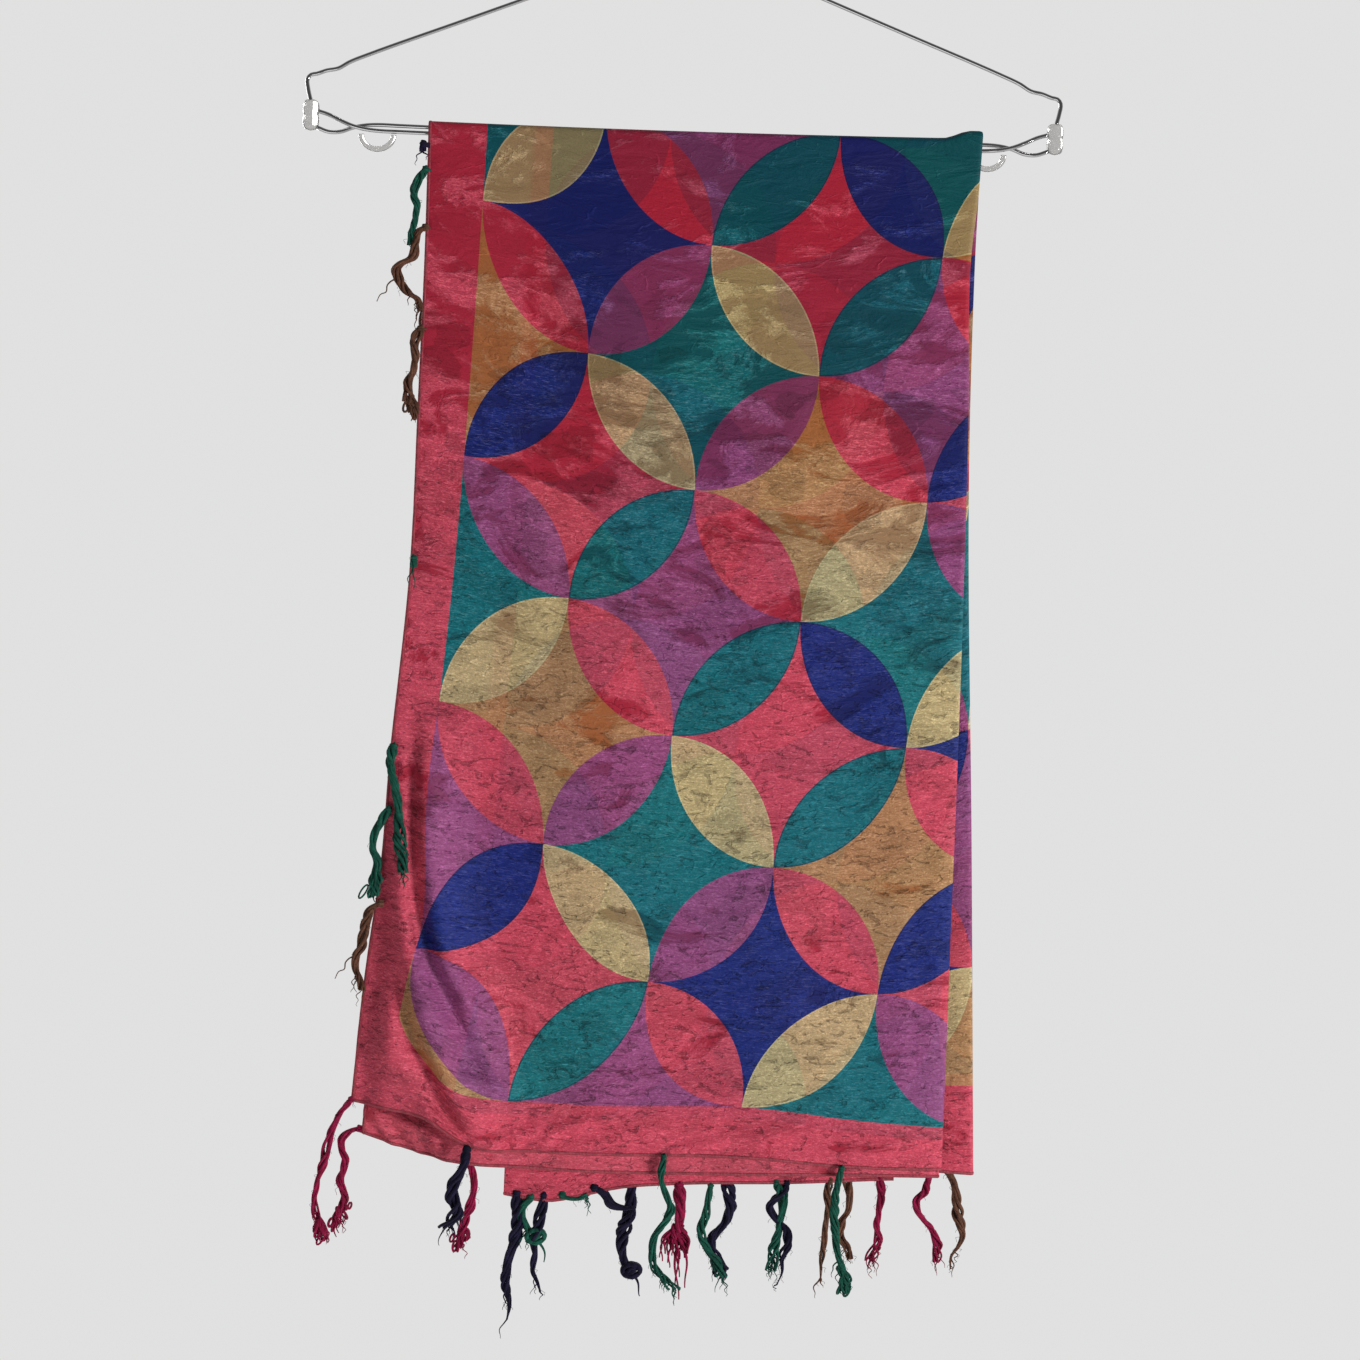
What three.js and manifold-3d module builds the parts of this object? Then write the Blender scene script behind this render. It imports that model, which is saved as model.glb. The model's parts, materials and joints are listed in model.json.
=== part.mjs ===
// A square headscarf with yarn tassels, folded lengthwise in four and hung at its middle over the
// double bar of a wire hanger.
//
// Millimetres. +X is to the right of someone facing the scarf, +Y is to the back and +Z is up.
// The origin is the inside top of the hanger's hook, where a rail carries it.
//
// The cloth is one sheet. Folded, it lies in four layers, named from the outside to the bar: the
// outer layer, the under layer, and two inner layers that meet in the scarf's half fold on the left.
// Each layer runs from its front hem up, over the bar and down to its back hem. "Depth" is how far
// out from the bar's surface a layer lies, and "drop" is how far something lies below the bar.

import * as THREE from 'three';
import { mergeVertices } from 'three/addons/utils/BufferGeometryUtils.js';
import Module from 'manifold-3d';

const wasm = await Module();
wasm.setup();

const { lerp, smoothstep, degToRad } = THREE.MathUtils;
const FRONT = -1;
const BACK = 1;

// ---- Driving dimensions -------------------------------------------------------------------------

const WALL = 1.0; // the cloth, its crinkle taken in
const GAP = 0.4; // between one layer and the next
const EASE = 0.3; // more, between the inner layers and the two round them

const BAR_Z = -180; // the middle of the hanger's bar, below the hook
const BAR_HALF = 197; // from its middle to each end
const BAR_SAG = 2; // under the scarf's weight
const BAR_PITCH = 3.2; // between its two wires
const HANGER_TILT = degToRad(1.9); // the scarf hangs right of the middle, so that end is lower

const WIRE = 2.5; // the diameter of the bar and arms
const WIRE_SIDES = 6;
const HOOK_WIRE = 3;
const HOOK_INSIDE = 18; // the hook's inside radius
const HOOK_FROM = -38; // degrees round the hook, from the right, where its shank joins it
const HOOK_TO = 222; // and where its tip is
const SLEEVE = { radius: 3.6, length: 16.5, below: 4, chamfer: 1 }; // holds the shank and the arms
const NECK_Z = -76; // where the arms meet
const SHOULDER_Z = -152.5; // where the arms turn down
const SHOULDER_X = 200;
const NOTCH = { at: 184, depth: 1.6 }; // the dip for a strap near each shoulder
const PAD = { width: 7, height: 15, depth: 5.2, round: 2.4, bevel: 0.9, rise: 5.2 }; // over the bar's ends

const FOLD_RETURN = 40; // how far a layer runs back past its right fold before the inner layers begin
const LAYERED_FROM = 0.93; // across the inner layers, where they part again on the right
const HEM_LAYERED = 0.03; // and how far up from their hems they stay apart
const YARN = 2.3; // half a tassel's thickness

// Depths of the middle of each wall, from the bar out.
const STEP = WALL + GAP;
const INNER_NEAR = GAP + WALL / 2;
const INNER_FAR = INNER_NEAR + STEP;
const UNDER = INNER_FAR + STEP + EASE;
const OUTER = UNDER + STEP;
const FOLD_RADIUS = (OUTER - INNER_NEAR + WALL) / 2; // of the outer layer's right fold
const HALF_FOLD_RADIUS = (INNER_FAR - INNER_NEAR + WALL) / 2;

// The scarf's side edges, from the bar (down: 0) to the hem (down: 1).
const FRONT_EDGES = [
  { down: 0, left: -140.4, right: 153.6 },
  { down: 0.06, left: -141.2, right: 151 },
  { down: 0.12, left: -142, right: 147 },
  { down: 0.28, left: -145.7, right: 145.6 },
  { down: 0.45, left: -150, right: 142.8 },
  { down: 0.63, left: -159.5, right: 139.2 },
  { down: 0.75, left: -164.5, right: 136.4 },
  { down: 0.85, left: -172, right: 134.3 },
  { down: 1, left: -180.6, right: 131 },
];
const BACK_EDGES = [
  { down: 0, left: -140.4, right: 153.6 },
  { down: 0.12, left: -139.5, right: 150 },
  { down: 0.34, left: -137, right: 146.8 },
  { down: 0.68, left: -133, right: 148.4 },
  { down: 1, left: -129.3, right: 149.4 },
];
// The half fold, which is the left side of the inner layers.
const HALF_FOLD = { bar: -79.2, front: -81.3, back: -102 };
const UNDER_FROM = 0.016; // across the outer layer, where the under layer's raw edge lies

// How far each hem hangs below the bar, across from the left edge (across: 0) to the right fold.
const HEMS = {
  outer: {
    [FRONT]: [
      { across: 0, drop: 510 },
      { across: 0.07, drop: 514 },
      { across: 0.13, drop: 518 },
      { across: 0.2, drop: 532 },
      { across: 0.35, drop: 537.5 },
      { across: 0.69, drop: 541 },
      { across: 0.82, drop: 545 },
      { across: 1, drop: 547 },
    ],
    [BACK]: [
      { across: 0, drop: 546 },
      { across: 0.5, drop: 544 },
      { across: 1, drop: 549 },
    ],
  },
  under: {
    [FRONT]: [
      { across: 0, drop: 526 },
      { across: 0.1, drop: 536.5 },
      { across: 0.18, drop: 542 },
      { across: 1, drop: 551 },
    ],
    [BACK]: [
      { across: 0, drop: 547 },
      { across: 0.5, drop: 548 },
      { across: 1, drop: 548 },
    ],
  },
  inner: {
    [FRONT]: [
      { across: 0, drop: 541 },
      { across: 1, drop: 546 },
    ],
    [BACK]: [
      { across: 0, drop: 562 },
      { across: 0.14, drop: 565.5 },
      { across: 0.46, drop: 560 },
      { across: 0.66, drop: 556 },
      { across: 1, drop: 554 },
    ],
  },
};

// How far the inside of each drop stands from the bar's plane, going down from the bar.
const PARTING = [
  { down: 0, off: WIRE / 2 },
  { down: 7, off: WIRE / 2 },
  { down: 28, off: 0.7 },
  { down: 140, off: 0.9 },
  { down: 560, off: 2.6 },
];

// Soft folds: each runs from the drop "from" down to the hem, and across from "startX" to "endX".
const FOLDS = {
  [FRONT]: [
    { startX: -158, endX: -117, from: 280, width: 19, height: 8 },
    { startX: -30, endX: -62, from: 120, width: 40, height: 3 },
    { startX: 52, endX: 44, from: 60, width: 42, height: 2.4 },
    { startX: 120, endX: 108, from: 200, width: 26, height: 2 },
  ],
  [BACK]: [
    { startX: -112, endX: -104, from: 150, width: 34, height: 3.4 },
    { startX: -20, endX: -2, from: 60, width: 40, height: 3.4 },
    { startX: 84, endX: 98, from: 210, width: 38, height: 3.6 },
  ],
};
const FOLD_END = 550; // the drop where a fold reaches "endX"
const FOLD_RISE = 190; // the drop over which a fold grows to its height

// The springy right end of the fold stands up off the bar.
const TOP_LIFT = { height: 4, fromX: 132, toX: 147 };

const COLOURS = {
  cloth: 0xb03a50,
  chrome: 0xc9c9cc,
  clear: 0xe6ebea,
  green: 0x124d37,
  brown: 0x5c3a2c,
  magenta: 0x7d1540,
  navy: 0x171330,
};

// Tassels. "at" is X along a hem and the drop along a side edge. The yarn's middle swings by "upper"
// and "lower" at a third and two thirds of its length, and its end by "lean", all towards +X.
const TASSEL_LINES = {
  front_hem: { layer: 'outer', side: FRONT, depth: 8 },
  under_front_hem: { layer: 'under', side: FRONT, depth: 1.6 },
  inner_hem: { layer: 'inner', side: BACK, depth: 1.6 },
  back_hem: { layer: 'outer', side: BACK, depth: 8 },
  front_edge: { layer: 'outer', side: FRONT, depth: 9.1 },
  under_front_edge: { layer: 'under', side: FRONT, depth: 0.4 },
  back_edge: { layer: 'outer', side: BACK, depth: 9.1 },
};
const TASSELS = [
  { on: 'front_hem', yarn: 'magenta', at: -178, length: 74, upper: -1, lower: -3, lean: -4 },
  { on: 'under_front_hem', yarn: 'magenta', at: -173, length: 54, upper: -3, lower: -6, lean: -10 },
  { on: 'front_hem', yarn: 'navy', at: -119, length: 43, upper: -3, lower: -6, lean: -9 },
  { on: 'back_hem', yarn: 'magenta', at: -121, length: 48, upper: -1, lower: -1, lean: -3 },
  { on: 'inner_hem', yarn: 'navy', at: -97, length: 69, upper: -1, lower: -2, lean: -3 },
  { on: 'inner_hem', yarn: 'green', at: -88, length: 23, upper: 1, lower: 1, lean: 0 },
  { on: 'inner_hem', yarn: 'navy', at: -78, length: 50, upper: 0, lower: -1, lean: -4 },
  { on: 'inner_hem', yarn: 'green', at: -64, length: 0, upper: 0, lower: 0, lean: 0 },
  { on: 'inner_hem', yarn: 'navy', at: -53, length: 12, upper: 5, lower: 8, lean: 12 },
  { on: 'back_hem', yarn: 'navy', at: -33, length: 68, upper: 0, lower: -1, lean: 3 },
  { on: 'front_hem', yarn: 'green', at: -18, length: 71, upper: 7, lower: -4, lean: 8 },
  { on: 'inner_hem', yarn: 'magenta', at: -7, length: 62, upper: 0, lower: 1, lean: 3 },
  { on: 'inner_hem', yarn: 'green', at: 9, length: 54, upper: -3, lower: -3, lean: 6 },
  { on: 'back_hem', yarn: 'navy', at: 16, length: 56, upper: 2, lower: 3, lean: -4 },
  { on: 'inner_hem', yarn: 'green', at: 43, length: 48, upper: -1, lower: 0, lean: -1 },
  { on: 'inner_hem', yarn: 'navy', at: 49, length: 47, upper: 1, lower: 0, lean: 1 },
  { on: 'front_hem', yarn: 'green', at: 76, length: 64, upper: -1, lower: -2, lean: 5 },
  { on: 'inner_hem', yarn: 'brown', at: 71, length: 54, upper: -1, lower: -3, lean: -4 },
  { on: 'back_hem', yarn: 'brown', at: 80, length: 54, upper: 1, lower: 3, lean: 5 },
  { on: 'inner_hem', yarn: 'magenta', at: 99, length: 42, upper: -1, lower: -3, lean: -4 },
  { on: 'under_front_hem', yarn: 'magenta', at: 125, length: 42, upper: -6, lower: -2, lean: 5 },
  { on: 'back_hem', yarn: 'brown', at: 138, length: 50, upper: 4, lower: 4, lean: 0 },
  { on: 'front_edge', yarn: 'navy', at: 8, length: 0, upper: 0, lower: 0, lean: 0 },
  { on: 'front_edge', yarn: 'green', at: 17, length: 27, upper: -2, lower: -4, lean: -5 },
  { on: 'front_edge', yarn: 'brown', at: 57, length: 38, upper: -13, lower: -3, lean: -13 },
  { on: 'front_edge', yarn: 'brown', at: 106, length: 42, upper: -5, lower: -5, lean: -3 },
  { on: 'front_edge', yarn: 'green', at: 228, length: 0, upper: 0, lower: 0, lean: 0 },
  { on: 'under_front_edge', yarn: 'navy', at: 272, length: 14, upper: -1, lower: -2, lean: -3 },
  { on: 'front_edge', yarn: 'green', at: 320, length: 68, upper: 3, lower: 7, lean: 12 },
  { on: 'under_front_edge', yarn: 'navy', at: 358, length: 34, upper: -1, lower: -2, lean: -4 },
  { on: 'front_edge', yarn: 'green', at: 352, length: 39, upper: -7, lower: -10, lean: -9 },
  { on: 'front_edge', yarn: 'brown', at: 409, length: 44, upper: -8, lower: -10, lean: -6 },
  { on: 'back_edge', yarn: 'brown', at: 84, length: 50, upper: -3, lower: -2, lean: 2 },
  { on: 'back_edge', yarn: 'magenta', at: 186, length: 56, upper: 3, lower: 5, lean: 3 },
  { on: 'back_edge', yarn: 'green', at: 288, length: 52, upper: -2, lower: 2, lean: 5 },
  { on: 'back_edge', yarn: 'navy', at: 392, length: 58, upper: 2, lower: 4, lean: 2 },
];
const TASSEL_HEAD = YARN + 0.3; // the knot's radius
const TWIST_TURN = degToRad(38); // of the yarn's square section, from one ring to the next
const RING_EVERY = 12; // between rings along the yarn
const FRAY = { length: 7, spread: 3.2, width: 1.5 };

// ---- Helpers ------------------------------------------------------------------------------------

// A value from a table's column, on smooth curves between its rows.
function read(table, key, value, at) {
  const last = table.length - 1;
  let i = 0;
  while (i < last - 1 && at > table[i + 1][key]) {
    i += 1;
  }
  const slope = (a, b) => (table[b][value] - table[a][value]) / (table[b][key] - table[a][key]);
  const here = slope(i, i + 1);
  const before = i > 0 ? (slope(i - 1, i) + here) / 2 : here;
  const after = i < last - 1 ? (here + slope(i + 1, i + 2)) / 2 : here;
  const span = table[i + 1][key] - table[i][key];
  const t = THREE.MathUtils.clamp((at - table[i][key]) / span, 0, 1);
  const start = table[i][value];
  const end = table[i + 1][value];
  return (
    start * (1 + 2 * t) * (1 - t) ** 2 +
    end * t * t * (3 - 2 * t) +
    span * t * (1 - t) * (before * (1 - t) - after * t)
  );
}

// A closed geometry from points and triangles, turned so that its faces look out.
function solidFrom(points, triangles) {
  let volume = 0;
  for (const [a, b, c] of triangles) {
    volume += points[a].dot(new THREE.Vector3().crossVectors(points[b], points[c]));
  }
  const index = triangles.flatMap(([a, b, c]) => (volume > 0 ? [a, b, c] : [a, c, b]));
  const geometry = new THREE.BufferGeometry().setFromPoints(points);
  geometry.setIndex(index);
  return geometry;
}

function toManifold(geometry) {
  const bare = geometry.clone();
  bare.deleteAttribute('normal');
  bare.deleteAttribute('uv');
  const merged = mergeVertices(bare, 1e-4);
  return new wasm.Manifold(
    new wasm.Mesh({
      numProp: 3,
      vertProperties: new Float32Array(merged.attributes.position.array),
      triVerts: new Uint32Array(merged.index.array),
    }),
  );
}

// One body made of the given ones.
function joined(geometries) {
  let whole = toManifold(geometries[0]);
  for (const next of geometries.slice(1)) {
    whole = whole.add(toManifold(next));
  }
  const mesh = whole.getMesh();
  const geometry = new THREE.BufferGeometry();
  geometry.setAttribute('position', new THREE.BufferAttribute(mesh.vertProperties, 3));
  geometry.setIndex(new THREE.BufferAttribute(mesh.triVerts, 1));
  return geometry;
}

const part = new THREE.Group();
const hanger = new THREE.Group();
hanger.rotation.y = HANGER_TILT;
part.add(hanger);

function addTo(group, name, geometry, colour, roughness, metalness = 0) {
  const material = new THREE.MeshStandardMaterial({ color: COLOURS[colour], roughness, metalness });
  const mesh = new THREE.Mesh(geometry, material);
  mesh.name = name;
  group.add(mesh);
}

// ---- The hanger ---------------------------------------------------------------------------------

// A round wire through the given points.
function wire(points, diameter, steps) {
  const curve = new THREE.CatmullRomCurve3(points, false, 'centripetal');
  const circle = new THREE.Shape();
  for (let i = 0; i < WIRE_SIDES; i += 1) {
    const angle = (2 * Math.PI * i) / WIRE_SIDES;
    const x = (diameter / 2) * Math.cos(angle);
    const y = (diameter / 2) * Math.sin(angle);
    if (i === 0) {
      circle.moveTo(x, y);
    } else {
      circle.lineTo(x, y);
    }
  }
  circle.closePath();
  return new THREE.ExtrudeGeometry(circle, { steps, extrudePath: curve, bevelEnabled: false });
}

// The hook rises from the neck, swings out to the right and goes round over the top to its tip.
function makeHook() {
  const radius = HOOK_INSIDE + HOOK_WIRE / 2;
  const centre = -HOOK_INSIDE;
  const foot = NECK_Z - SLEEVE.below;
  const points = [
    new THREE.Vector3(0, 0, NECK_Z + SLEEVE.length / 3),
    new THREE.Vector3(0, 0, NECK_Z + SLEEVE.length),
    new THREE.Vector3(radius * 0.2, 0, centre - radius * 1.35),
    new THREE.Vector3(radius * 0.64, 0, centre - radius * 0.92),
  ];
  const arcs = 10;
  for (let i = 0; i <= arcs; i += 1) {
    const angle = degToRad(lerp(HOOK_FROM, HOOK_TO, i / arcs));
    points.push(new THREE.Vector3(radius * Math.cos(angle), 0, centre + radius * Math.sin(angle)));
  }
  const outline = [
    [0, 0],
    [SLEEVE.radius - SLEEVE.chamfer / 2, 0],
    [SLEEVE.radius, SLEEVE.chamfer],
    [SLEEVE.radius, SLEEVE.length - 2 * SLEEVE.chamfer],
    [SLEEVE.radius - SLEEVE.chamfer, SLEEVE.length],
    [0, SLEEVE.length],
  ];
  const sleeve = new THREE.LatheGeometry(outline.map(([x, y]) => new THREE.Vector2(x, y)), 12);
  sleeve.rotateX(Math.PI / 2);
  sleeve.translate(0, 0, foot);
  return joined([wire(points, HOOK_WIRE, 36), sleeve]);
}

// An arm runs from the neck's sleeve out to the shoulder, dips in a shallow notch on the way, and
// turns down to the pad at the bar's end.
function makeArm(side) {
  const bend = 5; // how far from the shoulder the arm starts to turn down
  const slope = (NECK_Z - SHOULDER_Z) / (SHOULDER_X - bend);
  const along = (x, dip = 0) => new THREE.Vector3(side * x, 0, NECK_Z - x * slope - dip);
  const down = (inward, z) => new THREE.Vector3(side * (SHOULDER_X - inward), 0, z);
  const points = [
    along(SLEEVE.radius + 1),
    along(60),
    along(120),
    along(NOTCH.at - 16),
    along(NOTCH.at - 6, NOTCH.depth / 4),
    along(NOTCH.at, NOTCH.depth),
    along(NOTCH.at + 6, NOTCH.depth / 3),
    along(SHOULDER_X - bend, NOTCH.depth / 4),
    down(0, SHOULDER_Z - 3),
    down(0.6, SHOULDER_Z - 9),
    down(2.2, BAR_Z + PAD.rise + PAD.height / 2 + PAD.bevel + 1),
  ];
  return wire(points, WIRE, 24);
}

// One of the bar's two wires. They change places near each end, one passing behind the other.
function makeBarWire(side) {
  const level = (side * BAR_PITCH) / 2;
  const ends = [
    { in: 5, y: 0, rise: side === FRONT ? 7.4 : -1.4 },
    { in: 9, y: 0.4, rise: side === FRONT ? 5.6 : -3.3 },
    { in: 15, y: 1.1, rise: side * -2.8 },
    { in: 22, y: 1.75, rise: 0 },
    { in: 29, y: 0.9, rise: level * 0.8 },
    { in: 36, y: 0, rise: level },
    { in: 46, y: 0, rise: level },
    { in: BAR_HALF * 0.6, y: 0, rise: level },
  ];
  const height = (x) => BAR_Z - BAR_SAG * (1 - (x / BAR_HALF) ** 2);
  const place = (x, y, rise) => new THREE.Vector3(x, side * y, height(x) + rise);
  const points = [
    ...ends.map((p) => place(p.in - BAR_HALF, p.y, p.rise)),
    place(0, 0, level),
    ...ends.toReversed().map((p) => place(BAR_HALF - p.in, p.y, p.rise)),
  ];
  return wire(points, WIRE, 52);
}

// The clear pad that the arm and the bar's wires run into.
function makePad(side) {
  const { width, height, round, bevel } = PAD;
  const outline = new THREE.Shape();
  outline.moveTo(round, 0);
  outline.lineTo(width - round, 0);
  outline.quadraticCurveTo(width, 0, width, round);
  outline.lineTo(width, height - round);
  outline.quadraticCurveTo(width, height, width - round, height);
  outline.lineTo(round, height);
  outline.quadraticCurveTo(0, height, 0, height - round);
  outline.lineTo(0, round);
  outline.quadraticCurveTo(0, 0, round, 0);
  const depth = PAD.depth - 2 * bevel;
  const pad = new THREE.ExtrudeGeometry(outline, {
    depth,
    bevelThickness: bevel,
    bevelSize: bevel,
    bevelOffset: -bevel,
    bevelSegments: 1,
    curveSegments: 3,
  });
  pad.translate(-width / 2, -height / 2, -depth / 2);
  pad.rotateX(Math.PI / 2);
  pad.translate(side * (BAR_HALF + 0.6), 0, BAR_Z + PAD.rise);
  return pad;
}

addTo(hanger, 'hook', makeHook(), 'chrome', 0.18, 1);
addTo(hanger, 'arm_left', makeArm(-1), 'chrome', 0.18, 1);
addTo(hanger, 'arm_right', makeArm(1), 'chrome', 0.18, 1);
addTo(hanger, 'bar_front_wire', makeBarWire(FRONT), 'chrome', 0.18, 1);
addTo(hanger, 'bar_back_wire', makeBarWire(BACK), 'chrome', 0.18, 1);
addTo(hanger, 'pad_left', makePad(-1), 'clear', 0.25);
addTo(hanger, 'pad_right', makePad(1), 'clear', 0.25);

// ---- The cloth ----------------------------------------------------------------------------------

// The height of the middle of the upper bar wire, where the cloth turns over it.
function turnHeight(x) {
  const along = x - BAR_Z * Math.sin(HANGER_TILT);
  const sag = BAR_SAG * (1 - (along / BAR_HALF) ** 2);
  const bar = BAR_Z * Math.cos(HANGER_TILT) - along * Math.sin(HANGER_TILT) - sag;
  const lift = TOP_LIFT.height * smoothstep(x, TOP_LIFT.fromX, TOP_LIFT.toX);
  return bar + BAR_PITCH / 2 + lift;
}

// How far the inside of a drop stands from the bar's plane at a place on it.
function standOff(side, x, z) {
  let off = read(PARTING, 'down', 'off', turnHeight(x) - z);
  const drop = BAR_Z - z;
  for (const fold of FOLDS[side]) {
    const line = lerp(fold.startX, fold.endX, (drop - fold.from) / (FOLD_END - fold.from));
    const grown = smoothstep(drop, fold.from - 40, fold.from + FOLD_RISE);
    off += fold.height * grown * Math.exp(-(((x - line) / fold.width) ** 2));
  }
  return off;
}

// The left and right limits of a layer at a share of the way down one of its drops.
function limits(layer, side, down) {
  const edges = side === FRONT ? FRONT_EDGES : BACK_EDGES;
  const left = read(edges, 'down', 'left', down);
  const right = read(edges, 'down', 'right', down);
  if (layer === 'outer') {
    return { left, right };
  }
  if (layer === 'under') {
    return { left: lerp(left, right - FOLD_RADIUS, UNDER_FROM), right };
  }
  const fold = lerp(HALF_FOLD.bar, side === FRONT ? HALF_FOLD.front : HALF_FOLD.back, down);
  return { left: fold, right };
}

const hemHeight = (layer, side, across) => BAR_Z - read(HEMS[layer][side], 'across', 'drop', across);

// The rows of a layer's grid: up the front drop, over the bar, and down the back drop. The rows
// follow the outer layer's, down to its hem; a row with "hem" is the layer's own hem.
function layerRows(layer, inset = 0) {
  const front = [0.955, 0.89, 0.81, 0.73, 0.64, 0.54, 0.43, 0.31, 0.19, 0.1, 0.05, 0.02];
  const back = [0.02, 0.05, 0.1, 0.22, 0.36, 0.5, 0.64, 0.77, 0.89];
  const turns = 5;
  const end = (side) => (inset > 0 ? { side, down: 1 - inset } : { side, down: 1, hem: true });
  const rows = [end(FRONT)];
  if (layer === 'under') {
    rows.push({ side: FRONT, down: 1 });
  }
  rows.push(...front.map((down) => ({ side: FRONT, down })));
  for (let i = 0; i <= turns; i += 1) {
    rows.push({ angle: (Math.PI * i) / turns });
  }
  rows.push(...back.map((down) => ({ side: BACK, down })), end(BACK));
  return rows;
}

// A point of a layer: across from its left edge to its right fold, "dx" on from there, at a depth.
// The outer and under layers share their columns, and all layers share their rows down to the hem,
// so that neighbouring walls stay parallel.
function layerPoint(layer, row, across, dx, depth) {
  const onBar = row.angle !== undefined;
  const side = onBar ? FRONT : row.side;
  const down = onBar ? 0 : row.down;
  const whole = limits('outer', side, down);
  const own = limits(layer, side, down);
  const foldCentre = whole.right - FOLD_RADIUS;
  const x =
    layer === 'inner'
      ? lerp(own.left + HALF_FOLD_RADIUS, foldCentre - FOLD_RETURN - STEP, across) + dx
      : lerp(whole.left, foldCentre, across) + dx;
  if (onBar) {
    const radius = WIRE / 2 + depth;
    const z = turnHeight(x) + radius * Math.sin(row.angle);
    return new THREE.Vector3(x, -radius * Math.cos(row.angle), z);
  }
  const guide = row.hem ? { layer, left: own.left } : { layer: 'outer', left: whole.left };
  const hem = hemHeight(guide.layer, side, (x - guide.left) / (whole.right - guide.left));
  const z = lerp(turnHeight(x), hem, down);
  return new THREE.Vector3(x, side * (standOff(side, x, z) + depth), z);
}

// A cloth wall. Each column is a place across the layer with the direction its outside faces, and
// the wall stands half its thickness to each side of it. It is closed round all four of its edges.
function clothWall(layer, columns, rows, thickness = WALL) {
  const points = [];
  for (const out of [1, -1]) {
    const half = (out * thickness) / 2;
    for (const row of rows) {
      for (const c of columns) {
        const dx = c.dx + half * c.faceX;
        points.push(layerPoint(layer, row, c.across, dx, c.depth + half * c.faceOut));
      }
    }
  }
  const width = columns.length;
  const sheet = width * rows.length;
  const triangles = [];
  const quad = (a, b, c, d) => triangles.push([a, b, c], [a, c, d]);
  for (let j = 0; j < rows.length - 1; j += 1) {
    for (let i = 0; i < width - 1; i += 1) {
      const at = j * width + i;
      const face = [at, at + 1, at + width + 1, at + width];
      if (columns[i + 1].faceOut < 0) {
        face.push(face.shift()); // both plies are then split along the same diagonal
      }
      quad(...face);
      quad(...[0, 3, 2, 1].map((corner) => sheet + face[corner]));
    }
    const first = j * width;
    const last = first + width - 1;
    quad(first, first + width, sheet + first + width, sheet + first);
    quad(last, sheet + last, sheet + last + width, last + width);
  }
  for (let i = 0; i < width - 1; i += 1) {
    const top = sheet - width + i;
    quad(i, sheet + i, sheet + i + 1, i + 1);
    quad(top, top + 1, sheet + top + 1, sheet + top);
  }
  return solidFrom(points, triangles);
}

// The columns of a folded layer: along its outer ply to the fold, round it, and back along the ply
// nearer to the bar. "turn" is 1 for a fold on the right and -1 for one on the left.
function foldedColumns(outerDepth, innerDepth, turn, outerPly, innerPly) {
  const centre = (outerDepth + innerDepth) / 2;
  const radius = (outerDepth - innerDepth) / 2;
  const fold = turn > 0 ? 1 : 0;
  const arcs = 4;
  const columns = outerPly.map((across) => ({ across, dx: 0, depth: outerDepth, faceX: 0, faceOut: 1 }));
  for (let i = 1; i < arcs; i += 1) {
    const angle = Math.PI / 2 - (Math.PI * i) / arcs;
    const faceX = turn * Math.cos(angle);
    const faceOut = Math.sin(angle);
    columns.push({ across: fold, dx: radius * faceX, depth: centre + radius * faceOut, faceX, faceOut });
  }
  for (const { across, dx } of innerPly) {
    columns.push({ across, dx, depth: innerDepth, faceX: 0, faceOut: -1 });
  }
  return columns;
}

const RETURN = [{ across: 1, dx: 0 }, { across: 1, dx: -FOLD_RETURN }];
const UNDER_PLY = [UNDER_FROM, 0.05, 0.09, 0.13, 0.17, 0.21, 0.27, 0.34, 0.42, 0.5, 0.6, 0.7, 0.8, 0.9, 1];
const OUTER_PLY = [0, ...UNDER_PLY];

const outerColumns = foldedColumns(OUTER, INNER_NEAR, 1, OUTER_PLY, RETURN);
const underColumns = foldedColumns(UNDER, INNER_FAR, 1, UNDER_PLY, RETURN);

// The two inner layers meet in the half fold. They part at their hems and on the right, and are one
// thickness inside.
function makeInnerLayers() {
  const ply = [1, 0.88, 0.76, 0.64, 0.52, 0.4, 0.28, 0.16, 0.06, 0];
  const back = ply.toReversed().map((across) => ({ across, dx: 0 }));
  const plies = clothWall('inner', foldedColumns(INNER_FAR, INNER_NEAR, -1, ply, back), layerRows('inner'));
  const depth = (INNER_FAR + INNER_NEAR) / 2;
  const inside = ply.filter((across) => across < LAYERED_FROM);
  const middle = inside.map((across) => ({
    across,
    dx: across === 0 ? -HALF_FOLD_RADIUS / 2 : 0,
    depth,
    faceX: 0,
    faceOut: 1,
  }));
  const filling = clothWall('inner', middle, layerRows('inner', HEM_LAYERED), GAP + WALL / 4);
  return joined([plies, filling]);
}

addTo(part, 'outer_layer', clothWall('outer', outerColumns, layerRows('outer')), 'cloth', 0.55);
addTo(part, 'under_layer', clothWall('under', underColumns, layerRows('under')), 'cloth', 0.6);
addTo(part, 'inner_layers', makeInnerLayers(), 'cloth', 0.6);

// ---- The tassels --------------------------------------------------------------------------------

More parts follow.
